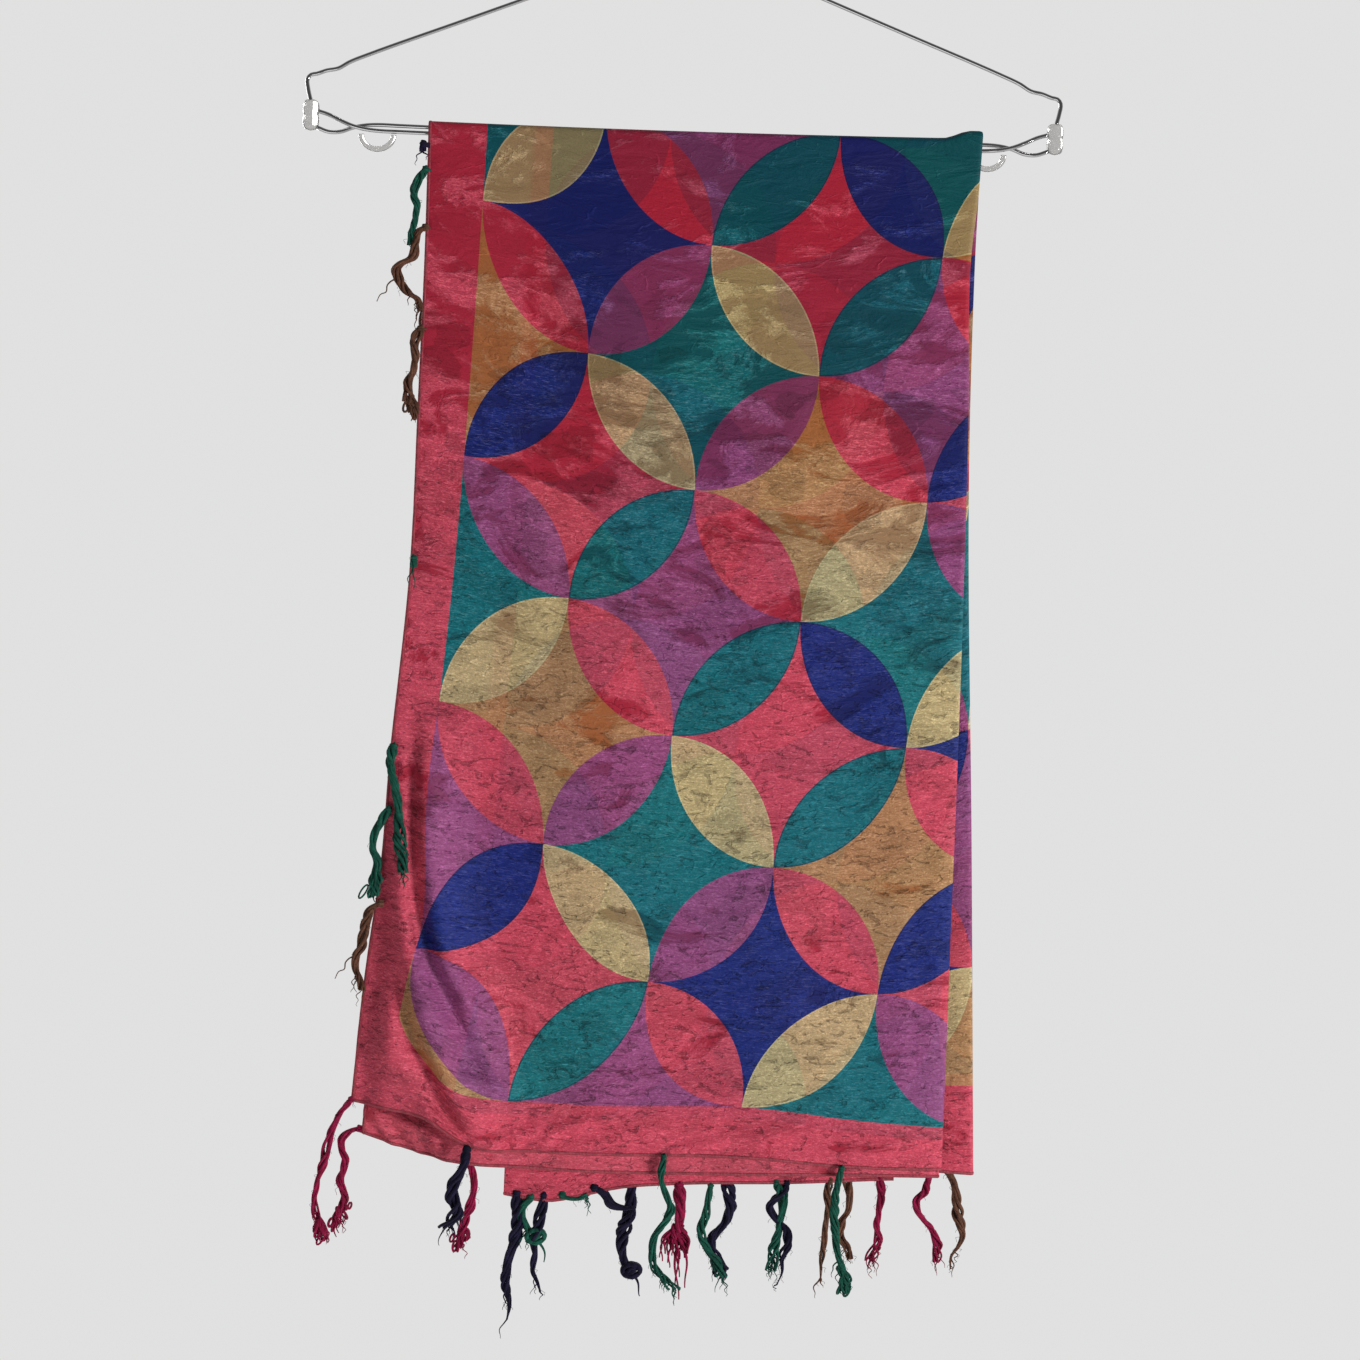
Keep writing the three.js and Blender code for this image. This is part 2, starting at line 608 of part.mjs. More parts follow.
// A strand through rings of a few points each, closed at both ends.
function strand(centres, widths, sides, turn) {
  const points = [];
  const triangles = [];
  centres.forEach((centre, ring) => {
    const ahead = centres[Math.min(ring + 1, centres.length - 1)];
    const behind = centres[Math.max(ring - 1, 0)];
    const along = new THREE.Vector3().subVectors(ahead, behind).normalize();
    const across = new THREE.Vector3(0, 1, 0).cross(along).normalize();
    const over = new THREE.Vector3().crossVectors(along, across);
    for (let i = 0; i < sides; i += 1) {
      const angle = (2 * Math.PI * i) / sides + ring * turn;
      const point = centre.clone();
      point.addScaledVector(across, widths[ring] * Math.cos(angle));
      point.addScaledVector(over, widths[ring] * Math.sin(angle));
      points.push(point);
    }
  });
  for (let ring = 0; ring < centres.length - 1; ring += 1) {
    for (let i = 0; i < sides; i += 1) {
      const a = ring * sides + i;
      const b = ring * sides + ((i + 1) % sides);
      triangles.push([a, b, b + sides], [a, b + sides, a + sides]);
    }
  }
  const end = points.length - sides;
  for (let i = 1; i < sides - 1; i += 1) {
    triangles.push([0, i + 1, i], [end, end + i, end + i + 1]);
  }
  return solidFrom(points, triangles);
}

// The knot's place, and a function for the place of the yarn at a sideways swing and a height.
function tasselPlace(tassel) {
  const { layer, side, depth } = TASSEL_LINES[tassel.on];
  const clear = GAP + TASSEL_HEAD;
  const follow = (x, z) => new THREE.Vector3(x, side * (standOff(side, x, z) + depth), z);
  if (tassel.on.endsWith('hem')) {
    const { left, right } = limits(layer, side, 1);
    const across = (tassel.at - left) / (right - left);
    return { knot: { x: tassel.at, z: hemHeight(layer, side, across) - clear }, follow };
  }
  const z = BAR_Z - tassel.at;
  const down = tassel.at / (BAR_Z - hemHeight(layer, side, 0));
  return { knot: { x: limits(layer, side, down).left - clear, z }, follow };
}

function makeTassel(tassel) {
  const { knot, follow } = tasselPlace(tassel);
  const head = new THREE.OctahedronGeometry(TASSEL_HEAD, 1);
  head.deleteAttribute('normal');
  head.deleteAttribute('uv');
  const root = follow(knot.x, knot.z);
  head.translate(root.x, root.y, root.z);
  if (tassel.length === 0) {
    return joined([head]);
  }
  const swings = [0, tassel.upper, tassel.lower, tassel.lean];
  const guide = swings.map((swing, i) => follow(knot.x + swing, knot.z - (tassel.length * i) / 3));
  const curve = new THREE.CatmullRomCurve3(guide, false, 'centripetal');
  const rings = Math.max(2, Math.round(curve.getLength() / RING_EVERY));
  const centres = curve.getSpacedPoints(rings);
  const widths = centres.map(() => YARN);
  const bodies = [head, strand(centres, widths, 4, TWIST_TURN)];
  const tip = centres.at(-1);
  const heading = tip.clone().sub(centres.at(-2)).normalize();
  for (const way of [-1, 1]) {
    const start = tip.clone().addScaledVector(heading, -FRAY.width);
    const end = tip.clone().addScaledVector(heading, FRAY.length * (way > 0 ? 1 : 0.6));
    end.x += way * FRAY.spread;
    bodies.push(strand([start, end], [FRAY.width, FRAY.width / 2], 3, 0));
  }
  return joined(bodies);
}

const tasselCounts = {};
for (const tassel of TASSELS) {
  tasselCounts[tassel.on] = (tasselCounts[tassel.on] ?? 0) + 1;
  const name = `tassel_${tassel.on}_${tasselCounts[tassel.on]}`;
  addTo(part, name, makeTassel(tassel), tassel.yarn, 0.9);
}

export default part;
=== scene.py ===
"""The looks of a printed headscarf that hangs, folded lengthwise in four, on a wire hanger.

Shapes are worked out in millimetres, as the pieces are cut and bent, and become metres in
put_mesh(). +X is to the right of someone facing the scarf, +Y to the back, +Z up, and the origin is
the inside top of the hanger's hook. "Drop" is a distance below the bar, "down" a share of the way
from the bar to the hem, and "depth" how far out from the bar's surface a layer lies.
"""

import json
import math
import random
from types import SimpleNamespace

import bmesh
import bpy
import numpy as np
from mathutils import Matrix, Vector


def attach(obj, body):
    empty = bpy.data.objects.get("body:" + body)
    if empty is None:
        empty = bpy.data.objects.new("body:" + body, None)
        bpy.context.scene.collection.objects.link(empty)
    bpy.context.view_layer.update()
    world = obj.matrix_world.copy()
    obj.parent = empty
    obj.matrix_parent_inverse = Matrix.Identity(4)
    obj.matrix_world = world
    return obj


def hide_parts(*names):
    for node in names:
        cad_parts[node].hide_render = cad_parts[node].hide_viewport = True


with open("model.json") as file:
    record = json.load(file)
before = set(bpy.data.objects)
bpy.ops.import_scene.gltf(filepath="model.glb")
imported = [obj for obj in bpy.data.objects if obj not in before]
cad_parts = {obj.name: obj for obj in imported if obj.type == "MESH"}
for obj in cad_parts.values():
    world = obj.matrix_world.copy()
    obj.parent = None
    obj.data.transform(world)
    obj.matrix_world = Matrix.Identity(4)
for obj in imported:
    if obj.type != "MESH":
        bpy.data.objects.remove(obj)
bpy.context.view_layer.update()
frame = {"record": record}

MM = 0.001
FRONT, BACK = -1, 1

# ---- Driving dimensions, in millimetres ----

BAR_Z = -180
BAR_HALF = 197
BAR_SAG = 2
BAR_PITCH = 3.2  # between the bar's two wires
HANGER_TILT = math.radians(1.9)
WIRE = 2.2
HOOK_WIRE = 3
HOOK_INSIDE = 18
HOOK_ARC = (-38, 222)  # degrees round the hook
NECK_Z = -76
SHOULDER = (200, -152.5)
NOTCH_AT, NOTCH_DEPTH = 184, 1.6
SLEEVE_RADIUS, SLEEVE_LENGTH, SLEEVE_BELOW = 3.6, 16.5, 4
PAD_RISE = 5.2
PAD_HEIGHT, PAD_RADIUS, PAD_DEPTH = 16.8, 4.4, 3.5
RING_INWARD, RING_BELOW = 35, 3.6  # from the bar's end, and below the bar
RING_ACROSS, RING_DOWN, RING_THICK = 8.6, 7.6, 1.5

CLOTH = 0.36  # thickness, with its crinkle
DEPTHS = {"inner_near": 0.9, "inner_far": 2.3, "under": 4.0, "outer": 5.4}
PRESSED = 0.35  # the layers lie this much closer together on the bar than lower down
PRESSED_TO = 70  # the drop where they are fully apart
FOLD_RADIUS = 2.75
HALF_FOLD_RADIUS = 1.2
FOLD_RETURN = 40
UNDER_FROM = 0.016  # the under layer's left edge, as a share of the outer layer's width
REST_RADIUS = 1.25  # of the wire that the cloth turns over, as the cloth's inside sees it

EDGES = {
    FRONT: {
        "down": [0, 0.06, 0.12, 0.28, 0.45, 0.63, 0.75, 0.85, 1],
        "left": [-140.4, -141.2, -142, -145.7, -150, -159.5, -164.5, -172, -180.6],
        "right": [153.6, 151, 147, 145.6, 142.8, 139.2, 136.4, 134.3, 131],
    },
    BACK: {
        "down": [0, 0.12, 0.34, 0.68, 1],
        "left": [-140.4, -139.5, -137, -133, -129.3],
        "right": [153.6, 150, 146.8, 148.4, 149.4],
    },
}
HALF_FOLD_AT_BAR = -79.2
HALF_FOLD_AT_HEM = {FRONT: -81.3, BACK: -102}
HEMS = {
    ("outer", FRONT): {
        "across": [0, 0.07, 0.13, 0.2, 0.35, 0.69, 0.82, 1],
        "drop": [510, 514, 518, 532, 537.5, 541, 545, 547],
    },
    ("outer", BACK): {"across": [0, 0.5, 1], "drop": [546, 544, 552]},
    ("under", FRONT): {"across": [0, 0.1, 0.18, 1], "drop": [526, 536.5, 542, 551]},
    ("under", BACK): {"across": [0, 0.5, 1], "drop": [547, 548, 548]},
    ("inner", FRONT): {"across": [0, 1], "drop": [541, 546]},
    ("inner", BACK): {
        "across": [0, 0.1, 0.17, 0.25, 0.36, 0.66, 1],
        "drop": [563, 566.5, 563.3, 559.3, 557.8, 556.5, 554],
    },
}
PARTING = {"down": [0, 7, 28, 140, 560], "off": [REST_RADIUS, REST_RADIUS, 0.7, 0.9, 2.6]}

# Soft folds. Each grows from the drop "from" to the hem, while its line moves from "start" to "end".
FOLD_COLUMNS = ("start", "end", "from", "width", "height")
FOLDS = {
    FRONT: [
        (-158, -117, 280, 19, 8),
        (-30, -62, 120, 40, 3),
        (52, 44, 60, 42, 2.4),
        (120, 108, 200, 26, 2),
    ],
    BACK: [(-112, -104, 150, 34, 3.4), (-20, -2, 60, 40, 3.4), (84, 98, 210, 38, 3.6)],
}
FOLD_END = 550
FOLD_LEAD, FOLD_RISE = 40, 190  # a fold starts so far above "from" and is full so far below it
TOP_LIFT, LIFT_FROM, LIFT_TO = 4, 132, 147
USUAL_HEM_DROP = 548

# The print: a lattice of overlapping circles, 8 by 8 cells in a plain border. u runs across the
# cloth and v along it, in cells, from the corner of the lattice at the front hem's left.
CELLS = 8
CELL_LONG = 129.5
SIDE_BORDER = 0.23  # of a cell
FIRST_ROW_V, FIRST_ROW_DROP = 3.5, 58.6  # at u 1
ROW_SLOPE, ROW_BOW = 12.4, 5.8  # how the rows drop and bow to the right
CORNER_DRAWN_UP = 0.045  # the cloth is pulled up so far, in cells, by the bar's left end
FRONT_HEM_V = {"u": [-SIDE_BORDER, 0.9, 1.6, 2.35], "v": [-0.2, -0.2, -0.212, -0.17]}
BACK_HEM_V = {"outer": 8.375, "under": 8.38, "inner": 8.42}
# The print's u at the outer layer's left edge and at its fold on the right, by the share of the way
# down: the cloth was folded a little askew.
PRINT_U = {
    FRONT: {
        "down": [0, 0.3, 0.45, 0.58, 0.7, 0.8, 0.94, 1],
        "left": [-0.25, -0.21, -0.185, -0.18, -0.178, -0.215, -0.152, -0.145],
        "fold": [2.11, 2.165, 2.195, 2.225, 2.281, 2.304, 2.365, 2.40],
    },
    BACK: {"down": [0, 0.34, 1], "left": [-0.25, -0.23, -0.23], "fold": [2.11, 2.0, 2.0]},
}

# ---- Creases, placed one by one ----

# Each is a soft trough (height below 0) or ridge across the outer layer, its middle at (x, drop),
# turned by "angle" from the horizontal, rising to the right, and bowed down by "bow" at its ends.
CREASE_COLUMNS = ("x", "drop", "angle", "length", "width", "height", "bow")
CREASES = {
    FRONT: [
        (-39, 410, 1, 150, 2.3, -0.45, 1), (-82, 531, -28, 34, 3.1, 1.9, 3),
        (-96, 529, 22, 22, 2.7, 1.5, 0), (-70, 524, 25, 24, 3, 1.9, 4),
        (-44, 521, -50, 30, 3.5, 2.2, 5), (-52, 519, 8, 22, 2.7, 1.8, 2),
        (-28, 527, -42, 26, 3.2, 2, 0), (20, 531, 6, 60, 2.7, 1.1, 2), (62, 528, -12, 40, 3, 1.5, 3),
        (104, 534, 10, 44, 3.2, 1.4, -3), (-110, 464, -48, 34, 4.1, 2.5, 2),
        (-118, 481, -20, 30, 3.5, 2, 2), (-108, 500, -15, 30, 3.2, 2, 2),
        (-125, 443, -50, 30, 4.1, 2.2, 2), (-128, 470, -60, 26, 3.5, 1.8, 0),
        (-150, 492, -46, 60, 6.5, 2, 6), (-138, 505, -40, 46, 5, -0.8, 4),
        (-131, 448, -66, 90, 6, -0.8, -6), (-148, 436, -74, 110, 7.5, 1.6, -6),
        (-78, 424, 58, 34, 3.2, -0.5, 4), (-62, 434, -6, 36, 2.7, -0.5, 2),
        (-52, 462, -10, 34, 3, -0.5, 3), (-34, 474, 30, 26, 2.7, -0.5, 2),
        (-12, 448, -4, 52, 3.2, 0.6, 2), (34, 446, 14, 40, 3.2, -0.5, 3), (74, 470, -8, 46, 3, -0.4, 3),
        (92, 412, 22, 54, 4.1, 0.6, 5), (48, 392, -30, 40, 3.8, -0.5, 5), (10, 372, 8, 60, 3.5, 0.5, 4),
        (-60, 352, 6, 60, 3.8, -0.5, 4), (-96, 330, 34, 40, 3.2, 0.6, 5),
        (24, 322, -14, 56, 4.1, 0.6, 5), (88, 336, 12, 44, 3.5, -0.5, 4),
        (-118, 292, 12, 40, 4.1, -0.5, 4), (-34, 284, 30, 50, 3.2, 0.6, 5),
        (40, 262, -10, 70, 3.2, -0.5, 5), (104, 250, 34, 44, 3.6, 0.6, 5),
        (-78, 232, -14, 66, 3.2, 0.5, 4), (12, 204, 10, 70, 3.4, -0.5, 6),
        (70, 176, -18, 60, 3.4, 0.5, 6), (-110, 170, 20, 46, 3.4, 0.5, 4),
        (-30, 146, -8, 70, 3.4, -0.4, 5), (100, 118, 14, 50, 3.6, 0.4, 5),
        (-84, 92, -12, 56, 3.6, -0.4, 4),
    ],
    BACK: [
        (-92, 520, 30, 30, 3.2, -0.7, 3), (-60, 516, -24, 36, 3.2, -0.6, 3),
        (-14, 524, 12, 44, 3, -0.6, 2), (34, 518, -36, 32, 3.5, 0.9, 4),
        (78, 522, 18, 40, 3.2, -0.6, 3), (118, 512, -20, 32, 3.5, -0.6, 3),
        (-106, 452, -60, 80, 6, 1.5, 6), (-88, 430, 14, 44, 3.5, -0.5, 3),
        (-20, 438, -10, 70, 3, -0.5, 2), (52, 424, 20, 50, 3.8, 0.6, 4),
        (104, 404, -28, 46, 4.1, -0.5, 4), (-52, 352, 10, 60, 3.8, 0.5, 4),
        (22, 330, -16, 60, 4.1, -0.5, 5), (88, 306, 14, 54, 4.1, 0.6, 5),
        (-96, 284, 24, 44, 3.2, -0.5, 4), (-10, 250, -8, 76, 3.2, 0.5, 5),
        (64, 214, 22, 54, 3.2, -0.5, 5), (-70, 180, -18, 60, 3.4, 0.5, 5),
        (30, 140, 8, 70, 3.4, -0.4, 5), (110, 110, -14, 48, 3.6, 0.4, 5),
        (-90, 96, 12, 50, 3.6, -0.4, 4),
    ],
}
# Deep soft valleys with the cloth standing up on both sides, along a row of places (x, drop).
FURROW_COLUMNS = ("places", "valley", "reach", "left_reach", "height")
FURROWS = {
    FRONT: [
        (
            [(-149, 290), (-149, 340), (-147, 390), (-140, 430), (-127, 462), (-113, 500)],
            5.8, 20, 70, 9.5,
        ),
        ([(-158, 424), (-152, 456), (-142, 489), (-127, 518), (-110, 541)], 5.8, 17, 60, 8.0),
        ([(-98, 470), (-90, 500), (-88, 530)], 3.6, 10, 10, 1.6),
        ([(60, 505), (84, 520), (92, 544)], 3.0, 9, 9, 1.1),
        ([(124, 330), (119, 400), (116, 470), (112, 540)], 5.0, 16, 16, 1.2),
        ([(-28, 60), (-20, 150), (-34, 240)], 6.0, 20, 20, 0.9),
        ([(58, 80), (66, 170), (54, 280)], 6.0, 20, 20, 0.9),
        ([(-100, 130), (-70, 220), (-84, 320)], 6.0, 18, 18, 0.9),
    ],
    BACK: [
        ([(-118, 260), (-112, 350), (-98, 430), (-84, 520)], 5.0, 18, 40, 3.4),
        ([(-30, 470), (-22, 505), (-26, 540)], 3.4, 10, 10, 1.6),
        ([(40, 460), (58, 500), (62, 540)], 3.6, 11, 11, 1.8),
        ([(110, 330), (104, 420), (108, 530)], 5.0, 16, 16, 1.4),
        ([(-10, 60), (0, 180), (-14, 300)], 6.0, 20, 20, 0.9),
    ],
}
SMALL_CREASES = 170  # more on each drop, too small to place one by one
SMALL_CREASES_TO = 545  # their lowest drop
CORNER_RIDGES = [  # on the under layer's corner, below the outer hem at the left
    (-166, 521, -50, 34, 3.6, 4.6, 3),
    (-152, 525, -48, 34, 3.4, 4.4, 3),
    (-138, 530, -46, 30, 3.4, 3.8, 3),
]
OUTER_HEM_ENDS = (-181, 131)  # x at the ends of the front hem
DEEPEST = 0.75  # a trough stops short of the layer below


# ---- Small tools ----


def lerp(a, b, t):
    return a + (b - a) * t


def smoothstep(value, low, high):
    t = np.clip((np.asarray(value, float) - low) / (high - low), 0, 1)
    return t * t * (3 - 2 * t)


def read(keys, values, at):
    """Values from a table's column, on smooth curves between its rows."""
    keys, values = np.asarray(keys, float), np.asarray(values, float)
    slopes = np.diff(values) / np.diff(keys)
    tangents = np.concatenate([slopes[:1], (slopes[:-1] + slopes[1:]) / 2, slopes[-1:]])
    at = np.clip(at, keys[0], keys[-1])
    i = np.clip(np.searchsorted(keys, at, side="right") - 1, 0, len(slopes) - 1)
    span = keys[i + 1] - keys[i]
    t = (at - keys[i]) / span
    return (
        values[i] * (1 + 2 * t) * (1 - t) ** 2
        + values[i + 1] * t * t * (3 - 2 * t)
        + span * t * (1 - t) * (tangents[i] * (1 - t) - tangents[i + 1] * t)
    )


def stack(*values):
    """Points, or places, from their coordinates."""
    return np.stack(np.broadcast_arrays(*values), axis=-1)


def unit(vectors):
    return vectors / np.maximum(np.linalg.norm(vectors, axis=-1, keepdims=True), 1e-9)


def length_along(path):
    """How far along a path each of its points lies."""
    return np.concatenate([[0], np.cumsum(np.linalg.norm(np.diff(path, axis=0), axis=1))])


def smooth_path(points, spacing):
    """Points on a smooth curve through the given ones, evenly spaced."""
    points = np.asarray(points, float)
    keys = length_along(points)
    at = np.linspace(0, keys[-1], int(keys[-1] / spacing) + 1)
    return stack(*(read(keys, points[:, axis], at) for axis in range(3)))


def ring_faces(count, sides):
    """The faces of a closed tube of so many rings, each of so many points."""
    faces = []
    for k in range(count - 1):
        for i in range(sides):
            a, b = k * sides + i, k * sides + (i + 1) % sides
            faces.append((a, b, b + sides, a + sides))
    faces.append(tuple(reversed(range(sides))))
    faces.append(tuple((count - 1) * sides + i for i in range(sides)))
    return faces


class Parts:
    """Faces gathered for one mesh, in millimetres, with a texture place for every point."""

    def __init__(self):
        self.points, self.places, self.faces = [], [], []
        self.count = 0

    def add(self, points, faces, places):
        self.points.append(np.asarray(points, float))
        self.places.append(np.asarray(places, float))
        self.faces.extend([tuple(self.count + k for k in face) for face in faces])
        self.count += len(points)

    def strand(self, path, thick, thin, sides=5):
        self.tube(path, np.linspace(thick, thin, len(path)), sides)

    def tube(self, path, radii, sides=6, flat=1.0):
        """A closed tube along a path; flat squeezes its section along the second frame axis."""
        path = np.asarray(path, float)
        radii = np.broadcast_to(np.asarray(radii, float), len(path))
        along = unit(np.gradient(path, axis=0))
        guide = np.array([0.0, 1.0, 0.0]) if abs(along[0][1]) < 0.9 else np.array([1.0, 0.0, 0.0])
        side = unit(np.cross(along[0], guide))
        angles = np.arange(sides) * 2 * math.pi / sides
        length = length_along(path)
        points, places = [], []
        for k, (centre, way, radius) in enumerate(zip(path, along, radii)):
            side = unit(side - way * (side @ way))
            over = np.cross(way, side) * flat
            spokes = np.outer(np.cos(angles), side) + np.outer(np.sin(angles), over)
            points.append(centre + radius * spokes)
            places.append(stack(length[k], np.arange(sides) / sides))
        self.add(np.concatenate(points), ring_faces(len(path), sides), np.concatenate(places))


def put_mesh(name, parts, material, place_name="place"):
    """Makes the object from its gathered faces and gives it its material."""
    points = np.concatenate(parts.points) * MM
    places = np.concatenate(parts.places)
    mesh = bpy.data.meshes.new(name)
    mesh.from_pydata(points.tolist(), [], parts.faces)
    corners = np.empty(len(mesh.loops), int)
    mesh.loops.foreach_get("vertex_index", corners)
    mesh.uv_layers.new(name=place_name).data.foreach_set("uv", places[corners].ravel())
    solid = bmesh.new()
    solid.from_mesh(mesh)
    bmesh.ops.recalc_face_normals(solid, faces=solid.faces)
    solid.to_mesh(mesh)
    solid.free()
    mesh.shade_smooth()
    mesh.materials.append(material)
    piece = bpy.data.objects.new(name, mesh)
    bpy.context.scene.collection.objects.link(piece)
    return piece


# ---- Formulas as nodes ----


class Num:
    """A number in a node tree, so that a formula of nodes reads as a formula."""

    def __init__(self, tree, socket):
        self.tree, self.socket = tree, socket

    def math(self, operation, *others, clamp=False):
        node = self.tree.nodes.new("ShaderNodeMath")
        node.operation = operation
        node.use_clamp = clamp
        for slot, value in zip(node.inputs, (self, *others)):
            plug(self.tree, slot, value)
        return Num(self.tree, node.outputs[0])

    def __add__(self, other):
        return self.math("ADD", other)

    def __sub__(self, other):
        return self.math("SUBTRACT", other)

    def __mul__(self, other):
        return self.math("MULTIPLY", other)

    def __neg__(self):
        return self.math("MULTIPLY", -1)

    def floor(self):
        return self.math("FLOOR")

    def mod(self, n):
        return self.math("FLOORED_MODULO", n)

    def size(self):
        return self.math("ABSOLUTE")

    def below(self, other):
        return self.math("LESS_THAN", other)

    def above(self, other):
        return self.math("GREATER_THAN", other)

    def equals(self, n):
        return (self - n).size().below(0.25)

    def ramp(self, low, high):
        """0 below low, 1 above high, smooth between."""
        node = self.tree.nodes.new("ShaderNodeMapRange")
        node.interpolation_type = "SMOOTHSTEP"
        for slot, value in zip(node.inputs, (self, low, high)):
            plug(self.tree, slot, value)
        return Num(self.tree, node.outputs[0])


def plug(tree, slot, value):
    if isinstance(value, Num):
        tree.links.new(value.socket, slot)
    elif isinstance(value, bpy.types.NodeSocket):
        tree.links.new(value, slot)
    else:
        slot.default_value = value


def pick(mask, where_0, where_1):
    """where_0 or where_1, by a mask of 0 or 1; each is a number or a Num."""
    if isinstance(where_1, Num) or isinstance(where_0, Num):
        return mask * where_1 + (-mask + 1) * where_0
    return mask * (where_1 - where_0) + where_0


def node(tree, kind, inputs=None, **settings):
    made = tree.nodes.new(kind)
    for key, value in settings.items():
        setattr(made, key, value)
    for key, value in (inputs or {}).items():
        plug(tree, made.inputs[key], value)
    return made


def mix(tree, share, first, second, blend="MIX"):
    made = tree.nodes.new("ShaderNodeMix")
    made.data_type = "RGBA"
    made.blend_type = blend
    plug(tree, made.inputs[0], share)
    plug(tree, made.inputs[6], first)
    plug(tree, made.inputs[7], second)
    return made.outputs[2]


def times(tree, place, scale):
    """A place (u, v) stretched by a scale of its own each way."""
    inputs = {0: place, 1: (*scale, 1)}
    return node(tree, "ShaderNodeVectorMath", inputs, operation="MULTIPLY").outputs[0]


def stretched_noise(tree, place, scale, detail, rough=0.5, warp=0.0):
    """Noise over a place in millimetres, with so many features a millimetre each way."""
    inputs = {"Vector": times(tree, place, scale), "Scale": 1.0, "Detail": detail}
    inputs.update({"Roughness": rough, "Distortion": warp})
    return Num(tree, node(tree, "ShaderNodeTexNoise", inputs).outputs["Fac"])


def crumple_cells(tree, place, scale, bent, feature):
    """Cells of straight-sided facets, so many a millimetre each way, with their sides bent."""
    shift = node(tree, "ShaderNodeCombineXYZ", {0: bent * 1.3, 1: bent * -0.9}).outputs[0]
    moved = node(tree, "ShaderNodeVectorMath", {0: times(tree, place, scale), 1: shift}).outputs[0]
    return node(tree, "ShaderNodeTexVoronoi", {"Vector": moved, "Scale": 1.0}, feature=feature)


def shaded_facet_mask(tree, place, bent):
    """1 on a few of the flat facets between the cloth's crumples, which get painted shade, 0 on the
    others.
    """
    cells = crumple_cells(tree, place, (0.050, 0.085), bent, "F1")
    value = node(tree, "ShaderNodeSeparateColor", {0: cells.outputs["Color"]})
    return Num(tree, value.outputs[0]).ramp(0.62, 0.74)


def crease_lines(tree, place, scale, bent, width):
    """1 along some of the sides of the crumpled facets, 0 elsewhere."""
    cells = crumple_cells(tree, place, scale, bent, "DISTANCE_TO_EDGE")
    away = Num(tree, cells.outputs["Distance"])
    broken = stretched_noise(tree, place, (0.06, 0.09), 3, 0.7).ramp(0.50, 0.58)
    return (-away.ramp(0.0, width) + 1) * broken


def bumped(tree, height, strength, distance):
    """The normals of a surface with this height, of which 1 is so many millimetres."""
    inputs = {"Strength": strength, "Distance": distance * MM, "Height": height}
    return node(tree, "ShaderNodeBump", inputs).outputs["Normal"]


def new_material(name):
    material = bpy.data.materials.new(name)
    material.use_nodes = True
    return material, material.node_tree


def texture_place(tree, map_name="place"):
    return node(tree, "ShaderNodeUVMap", uv_map=map_name).outputs[0]


def look(tree, **inputs):
    """Gives the shader its inputs: numbers and colours as they are, nodes as links."""
    shader = tree.nodes["Principled BSDF"]
    for name, value in inputs.items():
        plug(tree, shader.inputs[name.replace("_", " ")], value)


# ---- The print ----

CORAL, BLUE, TEAL, PURPLE, BEIGE, OCHRE = range(6)
SMOOTH_DYES = {
    CORAL: (0.375, 0.020, 0.046),
    BLUE: (0.009, 0.015, 0.124),
    TEAL: (0.002, 0.078, 0.098),
    PURPLE: (0.200, 0.034, 0.104),
    BEIGE: (0.300, 0.212, 0.104),
    OCHRE: (0.335, 0.122, 0.040),
}
# The paler colours of crushed cloth: painted sheen over real crinkling.
CRUSHED_SHEEN_DYES = {
    CORAL: (0.660, 0.102, 0.162),
    BLUE: (0.008, 0.026, 0.225),
    TEAL: (0.006, 0.205, 0.240),
    PURPLE: (0.340, 0.096, 0.270),
    BEIGE: (0.600, 0.500, 0.265),
    OCHRE: (0.460, 0.300, 0.150),
}
SHOW_THROUGH = (0.32, 0.8)  # how strongly one layer behind, or all three, tint the front one
BEHIND_SHIFT = (0.28, 0.05)  # of the print behind, in cells
# The lattice's corner at the front hem's left is rounded off, outside a circle in cells.
CORNER, CORNER_RADIUS = (0.40, 0.40), 0.44
OUTLINE = 0.012  # the width of the line inside a petal's edge, in squared cells


def dye_ramp(tree, dye, dyes):
    ramp = tree.nodes.new("ShaderNodeValToRGB")
    ramp.color_ramp.interpolation = "CONSTANT"
    stops = ramp.color_ramp.elements
    while len(stops) < len(dyes):
        stops.new(1.0)
    for k, colour in dyes.items():
        stops[k].position = k / len(dyes)
        stops[k].color = (*colour, 1)
    plug(tree, ramp.inputs["Fac"], (dye + 0.5) * (1 / len(dyes)))
    return ramp.outputs["Color"]


def petal_dyes(s, t, i, j):
    """The dyes of the petals along the lattice's two diagonals."""
    i_odd, j_odd = i.mod(2), j.mod(2)
    turn = ((t + 0.5).floor() - (i - i_odd)).mod(4)
    even_petal = pick(turn.equals(0), TEAL, BLUE)
    odd_petal = pick(turn.below(1.5), BEIGE, PURPLE)
    petal_s = pick(i_odd, even_petal, odd_petal)
    turn = ((s + 0.5).floor() - (j - j_odd)).mod(4)
    side_petal = pick(turn.equals(3), pick(turn.equals(0), BEIGE, PURPLE), BLUE)
    return petal_s, pick(j_odd, side_petal, CORAL)


def star_dye(i, j):
    """The dye of the star between four petals."""
    i_odd, j_odd = i.mod(2), j.mod(2)
    j_first = j.mod(4).equals(1)
    odd_star = pick(j_odd, TEAL, pick(j_first, OCHRE, BLUE))
    even_star = pick(j_odd, CORAL, pick(j_first * i.mod(4).equals(2), PURPLE, OCHRE))
    star = pick(i_odd, even_star, odd_star)
    star = pick(i.equals(-1), star, OCHRE)
    return pick(i.equals(9), star, pick(j_odd, OCHRE, BLUE))


